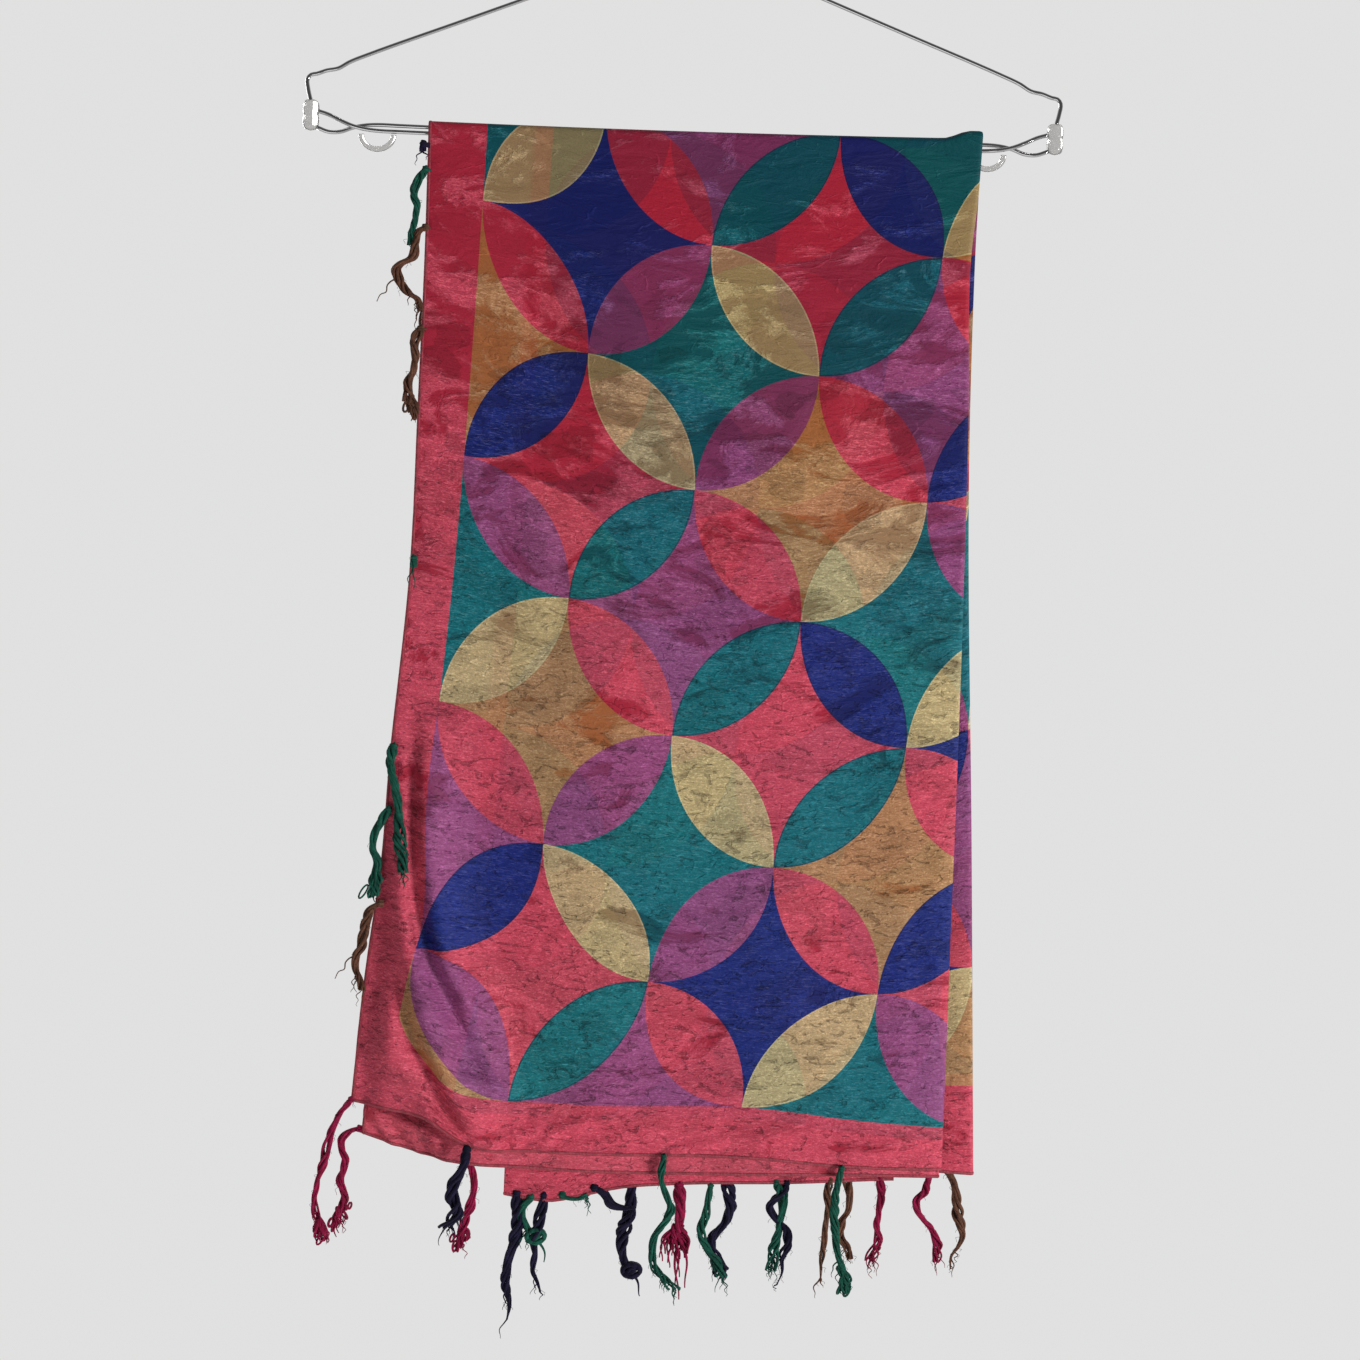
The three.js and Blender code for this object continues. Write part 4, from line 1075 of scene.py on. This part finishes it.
# Each tassel hangs from the edge of a layer, at a depth of its own. Its route is a row of places
# (x, z) from its root down to its tip; its end is frayed, bunched into loops, curled up, pointed or
# plain, and its yarn is so much thicker or thinner than most.
INNER_FOLD_DEPTH = 1.6
LINE_DEPTHS = {
    "front_hem": ("outer", FRONT, 8.0),
    "under_front_hem": ("under", FRONT, INNER_FOLD_DEPTH),
    "inner_hem": ("inner", BACK, INNER_FOLD_DEPTH),
    "back_hem": ("outer", BACK, 8.0),
    "front_edge": ("outer", FRONT, 9.1),
    "under_front_edge": ("under", FRONT, 0.4),
    "back_edge": ("outer", BACK, 9.1),
}
ROUTES = {
    "front_hem_1": ("bunch", 0.8, [
        (-180.5, -689), (-186, -696), (-190, -704), (-192.5, -712), (-194, -720), (-197, -728),
        (-199, -736), (-200, -742), (-199, -749), (-197, -754), (-194.5, -759)]),
    "under_front_hem_1": ("bunch", 0.85, [
        (-177, -705.5), (-181, -706.5), (-185, -709), (-187, -712), (-186, -717), (-184.5, -722),
        (-185.5, -727), (-187, -732), (-186, -738), (-185, -743), (-187, -748), (-189.5, -753)]),
    "front_hem_2": ("fray", 1.15, [
        (-118.5, -713), (-120, -720), (-122, -726), (-126, -731), (-126.5, -737), (-124.5, -742),
        (-124.5, -746), (-126.5, -750), (-129.5, -754.5)]),
    "back_hem_1": ("bunch", 0.85, [
        (-121, -725), (-119.5, -730), (-118, -736), (-118.5, -744), (-120, -751), (-122.5, -756),
        (-124, -762), (-126, -769)]),
    "inner_hem_1": ("point", 1.2, [
        (-94.5, -742), (-94.5, -754), (-95.5, -766), (-98.5, -775), (-100.5, -785), (-100.5, -794),
        (-98.5, -802), (-100, -810)]),
    "inner_hem_2": ("lump", 1.1, [
        (-87, -744), (-91, -749), (-92, -755), (-90, -760), (-87.5, -763.5)]),
    "inner_hem_3": ("point", 1.0, [
        (-80, -743), (-82, -754), (-85, -766), (-85, -776), (-86, -784), (-83.5, -790), (-82, -795)]),
    "inner_hem_4": ("plain", 1.1, [(-70, -742.5), (-66, -744.5), (-61, -744.5), (-57, -742)]),
    "inner_hem_5": ("plain", 1.2, [
        (-53, -738.5), (-48, -742), (-44, -748), (-38, -750), (-34, -749.5)]),
    "back_hem_2": ("lump", 1.3, [
        (-33, -726), (-33.5, -737), (-33.5, -746), (-35.5, -757), (-38.5, -767), (-38, -777),
        (-36.5, -783)]),
    "front_hem_3": ("fray", 0.78, [
        (-16, -719), (-17.5, -729), (-15, -739), (-12, -747), (-17, -755), (-21, -762),
        (-22, -771), (-20, -778), (-15, -784), (-9.5, -789)]),
    "inner_hem_6": ("brush", 1.25, [
        (-8, -738), (-7.5, -745), (-7, -752), (-8, -758), (-8.5, -763)]),
    "inner_hem_7": ("fray", 0.85, [
        (9, -738), (8, -745), (6, -755), (4, -765), (8, -773), (13, -780), (15.5, -787)]),
    "back_hem_3": ("bunch", 1.15, [
        (16, -727), (18, -738), (20, -748), (18, -758), (11, -766), (9, -772), (13, -779),
        (16, -784)]),
    "inner_hem_8": ("fray", 0.9, [
        (44, -736), (47, -742), (47, -751), (45.5, -760), (43, -770), (42, -777), (41, -783)]),
    "inner_hem_9": ("point", 0.95, [
        (49.5, -736), (48, -741), (43, -745), (40.5, -749), (44, -756), (49.5, -762), (50, -769),
        (47, -776), (47, -784), (44.5, -790)]),
    "front_hem_4": ("bunch", 0.85, [
        (77.5, -725), (75.5, -733), (74, -742), (73.5, -752), (74.5, -761), (75.5, -771),
        (78.5, -779), (80, -786)]),
    "inner_hem_10": ("point", 0.75, [
        (73, -735), (71.5, -742), (72, -749), (70.5, -758), (69.5, -768), (68, -777), (67.5, -790)]),
    "back_hem_4": ("plain", 0.9, [
        (80.5, -727), (83, -742), (83, -752), (79, -759), (78, -767), (82, -773), (84, -779)]),
    "inner_hem_11": ("fray", 0.8, [
        (99.5, -734), (99.8, -743), (99, -752), (97.5, -760), (98.5, -768), (95, -775),
        (94, -778)]),
    "under_front_hem_2": ("plain", 0.85, [
        (124, -731.5), (122.5, -738), (117.5, -744), (120, -752), (126, -759), (128.5, -766),
        (128.5, -776)]),
    "back_hem_5": ("point", 0.95, [
        (134, -729), (139.5, -738), (140.5, -748), (142, -758), (144, -766), (141.5, -772),
        (138, -777), (137.5, -784)]),
    "front_edge_1": ("knot", 1.0, [(-142.5, -186), (-143, -190)]),
    "front_edge_2": ("plain", 0.85, [
        (-141.5, -199), (-146, -206), (-147.5, -212), (-146, -218), (-146.5, -224), (-147.5, -229),
        (-149, -233), (-149.5, -239)]),
    "front_edge_3": ("wisp", 1.0, [
        (-141.5, -229.5), (-145, -232), (-147, -239), (-148.5, -246), (-154.5, -249), (-157, -252),
        (-154.5, -259), (-150.5, -264.5), (-145.5, -268), (-144, -274)]),
    "front_edge_4": ("bunch", 0.95, [
        (-144, -283), (-147.5, -290), (-146.5, -297), (-148, -305), (-150.5, -312), (-149.5, -319),
        (-146.5, -324)]),
    "front_edge_5": ("knot", 0.9, [(-147.5, -404), (-148, -409)]),
    "under_front_edge_1": ("plain", 0.9, [(-149, -451), (-152, -456), (-153.5, -462)]),
    "front_edge_6": ("fray", 1.0, [
        (-158, -503), (-159.5, -510), (-158.5, -517), (-156.5, -525), (-155, -533), (-154.8, -540),
        (-154.3, -549), (-153.3, -557), (-152.6, -563), (-152, -569)]),
    "under_front_edge_2": ("plain", 0.9, [
        (-157, -539), (-157.5, -546), (-158.5, -553), (-158.8, -560), (-160, -566), (-163, -571)]),
    "front_edge_7": ("bunch", 0.95, [
        (-160, -536), (-165, -543.5), (-168, -551), (-168.5, -557), (-165.5, -564), (-167, -570),
        (-168.5, -577)]),
    "front_edge_8": ("wisp", 0.95, [
        (-164.5, -585), (-170, -589), (-172, -594), (-173, -600), (-174.5, -607), (-177, -613),
        (-177.5, -620), (-175.5, -625), (-173.5, -631)]),
    "back_edge_1": ("fray", 1.0, [
        (-139.5, -263), (-143, -268), (-145, -277), (-143, -288), (-141.5, -299), (-143.5, -311)]),
    "back_edge_2": ("plain", 1.0, [
        (-137.5, -365), (-140.5, -370), (-141, -381), (-138.5, -393), (-137, -404), (-138.5, -416)]),
    "back_edge_3": ("bunch", 1.0, [
        (-135.5, -467), (-139.5, -472), (-141.5, -482), (-139.5, -493), (-137.5, -504),
        (-136.5, -515)]),
    "back_edge_4": ("point", 1.0, [
        (-132, -571), (-136.5, -576), (-138.5, -587), (-136, -599), (-133.5, -610), (-132.5, -625)]),
}
STRANDS = {
    "fray": 13, "bunch": 9, "lump": 5, "point": 3, "plain": 6, "wisp": 6, "knot": 2, "brush": 6,
}
PLIES = 6
PLY_RADIUS = 0.98
PLY_OFF = 1.75  # from the middle of the yarn
TWIST_PITCH = 34
STRAND_RADIUS, STRAND_TIP = 0.26, 0.12
FIBRE_RADIUS, FIBRE_SPACING = 0.11, 4
BUNCH_LOOPS, BUNCH_ENDS = 13, 11
BRUSH_STRANDS, BRUSH_LONG = 44, 4
TIED_IN = 0.8  # how far inside the edge or hem a tassel is tied
LUMP_TURNS = 2.6
LUMP_COILS = ((4.7, 0.0), (3.0, 1.1), (1.2, 2.3))  # size and turn
WISP = [(0, 0), (-3.5, -1), (-6, -3.5), (-6.6, -7), (-9.5, -8.2), (-11.5, -12)]


def yarn_material(slot):
    material, tree = new_material(slot)
    place = texture_place(tree)
    fibres = stretched_noise(tree, place, (0.5, 9), 3, 0.65, 0.4)
    tufts = stretched_noise(tree, place, (0.22, 2), 2)
    look(
        tree,
        Base_Color=mix(tree, (fibres * 0.7 + tufts * 0.5).ramp(0.40, 0.82), *YARNS[slot]),
        Roughness=0.85,
        Specular_IOR_Level=0.15,
        Sheen_Weight=0.03,
        Sheen_Roughness=0.6,
        Normal=bumped(tree, fibres, 0.9, 0.4),
    )
    return material


def tassel_path(side, depth, route):
    """A smooth path through a tassel's route, on its own depth in front of or behind the bar."""
    route = np.array(route, float)
    x, z = route[:, 0], route[:, 1]
    path = smooth_path(stack(x, 0, z), 1.3)
    x, z = path[:, 0], path[:, 2]
    out = stand_off(side, x, z) + depth
    if depth > DEPTHS["outer"]:
        out = out + np.maximum(outer_relief(side, x, BAR_Z - z), 0)
    path[:, 1] = side * out
    return path


def curly(dice, start, way, length, curl, turns):
    """A loose strand: it leaves along "way", turns down and curls."""
    steps = max(6, int(length / 0.9))
    t = np.linspace(0, 1, steps)
    phase = dice.uniform(0, 2 * math.pi)
    down = np.array([0, 0, -1.0])
    heading = unit(way[None] * (1 - t[:, None]) + down[None] * t[:, None] * 1.3)
    path = start + np.cumsum(heading * (length / steps), axis=0)
    spin = phase + t * turns * 2 * math.pi
    amount = curl * np.sin(np.pi * np.clip(t, 0, 1)) ** 0.5
    path[:, 0] += amount * (np.cos(spin) - math.cos(phase))
    path[:, 1] += 0.5 * amount * (np.sin(spin) - math.sin(phase))
    return np.concatenate([[start], path])


def loop_path(dice, start, radius, tilt):
    """A small loop of yarn that hangs from a point."""
    t = np.linspace(0, 1, 14)
    angle = math.pi / 2 + 2 * math.pi * t
    x = radius * 0.55 * np.cos(angle)
    z = radius * (np.sin(angle) - 1)
    path = stack(x * math.cos(tilt), 0.6 * x * math.sin(tilt), z)
    path[:, 0] -= dice.uniform(-0.6, 0.6) * path[:, 2]
    return start + path


def downwards(dice, aside, out):
    """A way down that strays so much to the sides and to the front or back."""
    return unit(np.array([dice.gauss(0, aside), dice.gauss(0, out), -1.0]))


def add_bunch(yarn, dice, line):
    """Loops and short thick ends crowded together at a tassel's foot."""
    for _ in range(BUNCH_LOOPS):
        at = line[-1 - dice.randrange(0, 8)]
        shift = np.array([dice.gauss(0, 1.4), dice.gauss(0, 0.5), 0])
        path = loop_path(dice, at + shift, dice.uniform(1.5, 3.6), dice.uniform(0, 3))
        yarn.tube(path, dice.uniform(0.5, 0.85), 5)
    for _ in range(BUNCH_ENDS):
        at = line[-1 - dice.randrange(0, 6)]
        path = curly(dice, at, downwards(dice, 0.6, 0.25), dice.uniform(4, 10), 0.7, 0.9)
        yarn.strand(path, 0.85, 0.25)


def add_lump(yarn, dice, tip):
    """The end of a yarn wound up into a lump, with one strand hanging out of it."""
    angle = np.linspace(0, 2 * math.pi * LUMP_TURNS, 70)
    for size, turn in LUMP_COILS:
        out, up = 0.35 * size * np.sin(2.3 * angle), 0.7 * size * np.sin(angle + turn)
        coil = stack(size * np.cos(angle), out, up)
        yarn.tube(tip + [3.0, 0, -1.6] + coil, PLY_RADIUS * 1.4, 7)
    way = unit(np.array([0.8, 0, -1.0]))
    yarn.strand(curly(dice, tip + [3.5, 0, -3.5], way, 13, 0.6, 0.6), 0.9, 0.3)


def add_brush(yarn, dice, tip):
    """Strands spread wide from the end of a yarn, the first few of them long."""
    for k in range(BRUSH_STRANDS):
        is_long = k < BRUSH_LONG
        length = dice.uniform(30, 39) if is_long else dice.uniform(9, 20)
        way = downwards(dice, 0.2 if is_long else 0.9, 0.2)
        start = tip + [dice.gauss(0, 1.2), 0, dice.uniform(-1, 5)]
        path = curly(dice, start, way, length, 1.0, 1.1)
        yarn.strand(path, dice.uniform(0.7, 1.1), 0.35)


def add_wisp(yarn, line):
    """A single long strand that has come away and kinks outwards."""
    at = line[int(len(line) * 0.62)]
    path = smooth_path([at + np.array([dx, -0.4, dz]) for dx, dz in WISP], 1.0)
    yarn.strand(path, 0.5, 0.22)


def add_knot(yarn, dice, root, hem, thick):
    """A hard small knot below the hem, and the strands that go through the hem."""
    t = np.linspace(0, 1, 34)
    angle = 2 * math.pi * 2.7 * t + dice.uniform(0, 6)
    radius = 1.35 * thick * np.sin(np.pi * (0.15 + 0.7 * t))
    path = stack(radius * np.cos(angle), radius * np.sin(angle), 1.4 - 3.2 * t)
    yarn.tube(root + path, 0.9 * thick, 7)
    for shift in (-0.9, 0.1, 1.0):
        across = np.array([shift, 0, 0]) if abs(hem[0] - root[0]) < 2 else np.array([0, 0, shift])
        yarn.tube(np.array([root, (root + hem) / 2 + across * 0.7, hem + across]), 0.7, 6)


def hem_place(layer, side, root, on_edge):
    """The nearest place on the edge or hem of the layer that a tassel is tied to."""
    x, z = root[0], root[2]
    if on_edge:
        x = edge(side, "left", np.clip((BAR_Z - z) / USUAL_HEM_DROP, 0, 1)) + TIED_IN
    else:
        z = BAR_Z - hem_drop(layer, side, x) + TIED_IN
        x = max(x, hem_start(layer, side) + 1)
    depth = DEPTHS.get(layer, INNER_FOLD_DEPTH)
    y = side * (stand_off(side, np.array(x), np.array(z)) + depth)
    return np.array([float(x), float(y), float(z)])


def add_plies(yarn, dice, line, style, thick):
    """Plies twisted loosely round a line, thinner and sometimes looser towards its end."""
    s = length_along(line)
    end = smoothstep(s / s[-1], 0.55, 1)
    taper = 1 - (0.8 if style == "point" else 0.3) * end
    loosen = 1 + 0.3 * np.sin(s / 6.3 + dice.uniform(0, 6))
    if style == "fray":
        loosen = loosen + 0.9 * end
    twist = dice.choice((-1, 1)) * 2 * math.pi / (TWIST_PITCH * dice.uniform(0.8, 1.3))
    start = dice.uniform(0, 6)
    for ply in range(PLIES):
        wander = dice.uniform(0, 6)
        angle = start + twist * s + 2 * math.pi * ply / (PLIES - 1)
        angle = angle + 0.6 * np.sin(s / 5.7 + wander)
        off = PLY_OFF * thick * loosen * (0.5 + 0.5 * smoothstep(s, 0, 4))
        off = off * (0.2 if ply == 0 else 1 + 0.25 * np.sin(s / 4.3 + 2 * wander))
        off = off * (taper if style == "point" else 1)
        around = stack(off * np.cos(angle), 0.8 * off * np.sin(angle), 0)
        radii = PLY_RADIUS * thick * taper * (1 + 0.13 * np.sin(s / 3.9 + 2 * ply))
        yarn.tube(line + around, radii, 6)


def add_strands(yarn, dice, line, count):
    """Loose strands at the worn end of a yarn."""
    for _ in range(count):
        at = line[-1 - dice.randrange(0, max(1, len(line) // 4))]
        way = downwards(dice, 0.6, 0.3)
        length, curl, turns = dice.uniform(4, 12), dice.uniform(0.3, 1.3), dice.uniform(0.6, 2.0)
        path = curly(dice, at, way, length, curl, turns)
        yarn.strand(path, STRAND_RADIUS * dice.uniform(1.2, 2.2), STRAND_TIP, 4)


def add_fibres(yarn, dice, line):
    """Fine fibres that stick out all along a yarn."""
    for _ in range(int(length_along(line)[-1] / FIBRE_SPACING)):
        at = line[dice.randrange(0, len(line))]
        aside = dice.choice((-1, 1)) * dice.uniform(0.5, 1)
        way = unit(np.array([aside, dice.gauss(0, 0.4), dice.gauss(0, 0.5)]))
        yarn.tube(curly(dice, at, way, dice.uniform(3, 6), 0.7, 1.2), FIBRE_RADIUS, 3)


def make_tassel(name, slot, material, seed):
    """A knot at the root, twisted plies along the route, and a worn end."""
    dice = random.Random(seed)
    line_name = name.rsplit("_", 1)[0]
    layer, side, depth = LINE_DEPTHS[line_name]
    style, thick, route = ROUTES[name]
    yarn = Parts()
    line = tassel_path(side, depth, route)
    hem = hem_place(layer, side, line[0], "edge" in line_name)
    add_knot(yarn, dice, line[0], hem, thick)
    add_plies(yarn, dice, line, style, thick)
    if style == "bunch":
        add_bunch(yarn, dice, line)
    if style == "lump":
        add_lump(yarn, dice, line[-1])
    if style == "brush":
        add_brush(yarn, dice, line[-1])
    if style == "wisp":
        add_wisp(yarn, line)
    add_strands(yarn, dice, line, STRANDS[style])
    add_fibres(yarn, dice, line)
    piece = put_mesh(f"yarn_{name}", yarn, material)
    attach(piece, "root")
    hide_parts(f"tassel_{name}")


def make_tassels():
    materials = {slot: yarn_material(slot) for slot in YARNS}
    slots = {part["node"]: part["material_slot"] for part in frame["record"]["subparts"]}
    for k, name in enumerate(ROUTES):
        slot = slots[f"tassel_{name}"]
        make_tassel(name, slot, materials[slot], 100 + k)


# ---- The hanger ----


def tilted(points):
    """The hanger hangs lower at its right end."""
    x, y, z = np.moveaxis(np.asarray(points, float), -1, 0)
    c, s = math.cos(HANGER_TILT), math.sin(HANGER_TILT)
    return stack(x * c + z * s, y, z * c - x * s)


def chrome_material():
    material, tree = new_material("chrome")
    scuffs = stretched_noise(tree, texture_place(tree), (0.12, 3), 4, 0.7)
    colour = mix(tree, scuffs.ramp(0.55, 0.8), (0.50, 0.50, 0.51, 1), (0.30, 0.29, 0.28, 1))
    look(tree, Base_Color=colour, Metallic=1, Roughness=scuffs.ramp(0.4, 0.9) * 0.12 + 0.05)
    return material


def clear_material():
    material, tree = new_material("clear_plastic")
    haze = stretched_noise(tree, texture_place(tree), (0.35, 3), 3, 0.6).ramp(0.3, 0.8)
    look(
        tree,
        Base_Color=mix(tree, haze, (0.80, 0.80, 0.79, 1), (0.68, 0.68, 0.65, 1)),
        Roughness=haze * 0.15 + 0.10,
        IOR=1.46,
        Specular_IOR_Level=0.3,
        Transmission_Weight=0.93,
    )
    return material


def arm_path(side):
    slope = (NECK_Z - SHOULDER[1]) / (SHOULDER[0] - 5)
    knees = [
        (SLEEVE_RADIUS, 0),
        (60, 0),
        (120, 0),
        (NOTCH_AT - 16, 0),
        (NOTCH_AT - 6, NOTCH_DEPTH / 4),
        (NOTCH_AT, NOTCH_DEPTH),
        (NOTCH_AT + 6, NOTCH_DEPTH / 3),
        (SHOULDER[0] - 5, NOTCH_DEPTH / 4),
    ]
    points = [(side * x, 0, NECK_Z - x * slope - dip) for x, dip in knees]
    turned = [(1.6, -1.2), (0, -3.4), (0.6, -9), (2.2, BAR_Z + PAD_RISE + 7 - SHOULDER[1])]
    points += [(side * (SHOULDER[0] - inward), 0, SHOULDER[1] + dz) for inward, dz in turned]
    return smooth_path(points, 1.5)


def bar_path(side):
    """One wire of the bar; near each end the two change places, one behind the other."""
    level = side * BAR_PITCH / 2
    front = side == FRONT
    ends = [
        (3, 0, 7.4 if front else -1.4),
        (9, 0.4, 5.6 if front else -3.3),
        (15, 1.1, side * -2.8),
        (22, 1.75, 0),
        (29, 0.9, level * 0.8),
        (36, 0, level),
        (46, 0, level),
        (BAR_HALF * 0.6, 0, level),
    ]

    def place(x, y, rise):
        return (x, side * y, BAR_Z - BAR_SAG * (1 - (x / BAR_HALF) ** 2) + rise)

    points = [place(inward - BAR_HALF, y, rise) for inward, y, rise in ends]
    points.append(place(0, 0, level))
    points += [place(BAR_HALF - inward, y, rise) for inward, y, rise in reversed(ends)]
    return smooth_path(points, 1.5)


def hook_path():
    radius = HOOK_INSIDE + HOOK_WIRE / 2
    points = [
        (0, 0, NECK_Z + SLEEVE_LENGTH / 3),
        (0, 0, NECK_Z + SLEEVE_LENGTH),
        (radius * 0.2, 0, -HOOK_INSIDE - radius * 1.35),
        (radius * 0.64, 0, -HOOK_INSIDE - radius * 0.92),
    ]
    for angle in np.radians(np.linspace(*HOOK_ARC, 20)):
        points.append((radius * math.cos(angle), 0, -HOOK_INSIDE + radius * math.sin(angle)))
    return smooth_path(points, 1.2)


def sleeve_parts():
    """The crimped sleeve that holds the hook's shank and the arms, before it is tilted."""
    parts = Parts()
    low = NECK_Z - SLEEVE_BELOW
    heights = np.array([0, 0.1, 0.6, 1.2, 3, 3.6, 4.4, 5, 11, 11.6, 12.4, 13, 15, 16, 16.5, 16.6])
    pinch = [0.1, 2.6, 3.3, 3.6, 3.6, 3.3, 3.3, 3.6, 3.6, 3.3, 3.3, 3.6, 3.6, 3.2, 2.4, 0.1]
    parts.tube([(0, 0, low + h) for h in heights], pinch, 24)
    return parts


def add_ball_end(parts, end, way, radius):
    """A rounded end on a wire."""
    steps = np.linspace(0, math.pi / 2, 6)
    path = [end + way * radius * math.sin(a) for a in steps]
    parts.tube(path, [max(radius * math.cos(a), 0.05) for a in steps], 16)


def pad_parts(side):
    """The clear pad over a corner: a rounded block with a groove where the wires run in."""
    parts = Parts()
    t = np.linspace(-1, 1, 22)
    taper = (1 - np.abs(t) ** 5) ** 0.4
    groove = 1 - 0.10 * np.exp(-((t / 0.16) ** 2))
    centre = np.array([side * (BAR_HALF + 0.6), 0, BAR_Z + PAD_RISE])
    path = centre + stack(0, 0, t * PAD_HEIGHT / 2)
    radii = np.maximum(PAD_RADIUS * taper * groove, 0.2)
    parts.tube(tilted(path), radii, 20, flat=PAD_DEPTH / PAD_RADIUS)
    return parts


def loop_parts(side):
    """The clear half ring that hangs under the bar near each end."""
    parts = Parts()
    angle = np.linspace(math.pi, 2 * math.pi, 24)
    middle = side * (BAR_HALF - RING_INWARD)
    low = BAR_Z - BAR_SAG * (1 - (middle / BAR_HALF) ** 2) - RING_BELOW
    x, z = middle + RING_ACROSS * np.cos(angle), low + RING_DOWN * np.sin(angle)
    parts.tube(tilted(stack(x, 0, z)), RING_THICK, 12, flat=0.7)
    return parts


def make_hanger():
    chrome, clear = chrome_material(), clear_material()
    wires = {
        "arm_left": arm_path(-1),
        "arm_right": arm_path(1),
        "bar_front_wire": bar_path(FRONT),
        "bar_back_wire": bar_path(BACK),
        "hook": hook_path(),
    }
    for name, path in wires.items():
        parts = Parts()
        diameter = HOOK_WIRE if name == "hook" else WIRE
        path = tilted(path)
        parts.tube(path, diameter / 2, 16)
        if name == "hook":
            add_ball_end(parts, path[-1], unit(path[-1] - path[-2]), diameter / 2)
            sleeve = sleeve_parts()
            parts.add(tilted(sleeve.points[0]), sleeve.faces, sleeve.places[0])
        piece = put_mesh(f"chrome_{name}", parts, chrome)
        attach(piece, "root")
        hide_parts(name)
    for name, side in (("left", -1), ("right", 1)):
        pad = put_mesh(f"clear_pad_{name}", pad_parts(side), clear)
        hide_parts(f"pad_{name}")
        ring = put_mesh(f"clear_ring_{name}", loop_parts(side), clear)
        for piece in (pad, ring):
            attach(piece, "root")


# ---- The studio ----

# In metres: how much the camera sees at the front layer, where its middle is, and from how far off.
VIEW_WIDTH = 0.718
VIEW_X, FRONT_LAYER_Y, VIEW_Z = -0.0074, -0.007, -0.4683
CAMERA_DISTANCE = 1.25
SENSOR_WIDTH_MM = 36
FLOOR_Z = -2.6
FLOOR_SIZE = 11


def make_camera():
    data = bpy.data.cameras.new("camera")
    data.sensor_width = SENSOR_WIDTH_MM
    data.lens = SENSOR_WIDTH_MM * CAMERA_DISTANCE / VIEW_WIDTH
    camera = bpy.data.objects.new("camera", data)
    camera.location = (VIEW_X, FRONT_LAYER_Y - CAMERA_DISTANCE, VIEW_Z)
    camera.rotation_euler = (math.pi / 2, 0, 0)
    bpy.context.scene.collection.objects.link(camera)
    bpy.context.scene.camera = camera


def add_light(name, place, target, size, power):
    data = bpy.data.lights.new(name, "AREA")
    data.shape = "RECTANGLE"
    data.size, data.size_y = size
    data.energy = power
    light = bpy.data.objects.new(name, data)
    light.location = place
    light.rotation_euler = (Vector(target) - Vector(place)).to_track_quat("-Z", "Y").to_euler()
    bpy.context.scene.collection.objects.link(light)


def make_world():
    """A pale room, darker on the side that the viewer stands on."""
    world = bpy.data.worlds.new("room")
    bpy.context.scene.world = world
    world.use_nodes = True
    tree = world.node_tree
    background = tree.nodes["Background"]
    way = node(tree, "ShaderNodeTexCoord").outputs["Generated"]
    split = node(tree, "ShaderNodeSeparateXYZ", {0: way})
    behind = Num(tree, split.outputs[1]).ramp(-0.5, 0.5)
    room = mix(tree, behind, (0.11, 0.11, 0.11, 1), (0.60, 0.59, 0.59, 1))
    seen = node(tree, "ShaderNodeLightPath").outputs["Is Camera Ray"]
    shown = mix(tree, seen, room, (0.75, 0.75, 0.75, 1))
    tree.links.new(shown, background.inputs["Color"])


def make_floor():
    material, tree = new_material("floor")
    look(tree, Base_Color=(0.88, 0.87, 0.86, 1), Roughness=0.9)
    look(tree, Emission_Color=(1, 1, 1, 1), Emission_Strength=0.2)
    mesh = bpy.data.meshes.new("floor")
    half = FLOOR_SIZE / 2
    corners = [(-half, -half), (half, -half), (half, half), (-half, half)]
    mesh.from_pydata([(x, y, FLOOR_Z) for x, y in corners], [], [(0, 1, 2, 3)])
    mesh.materials.append(material)
    floor = bpy.data.objects.new("floor", mesh)
    bpy.context.scene.collection.objects.link(floor)


def make_studio():
    make_camera()
    make_world()
    make_floor()
    middle = (0, 0, -0.45)
    add_light("key", (1.75, -1.35, -0.75), middle, (0.6, 0.6), 41)
    add_light("low_fill", (-0.5, -1.1, -1.25), (0, 0, -0.6), (1.2, 0.6), 2.6)
    add_light("back_fill", (-1.3, 1.5, 0.0), middle, (1.2, 1.2), 22)
    bpy.context.scene.view_settings.view_transform = "Standard"


make_studio()
make_hanger()
make_scarf()
make_tassels()
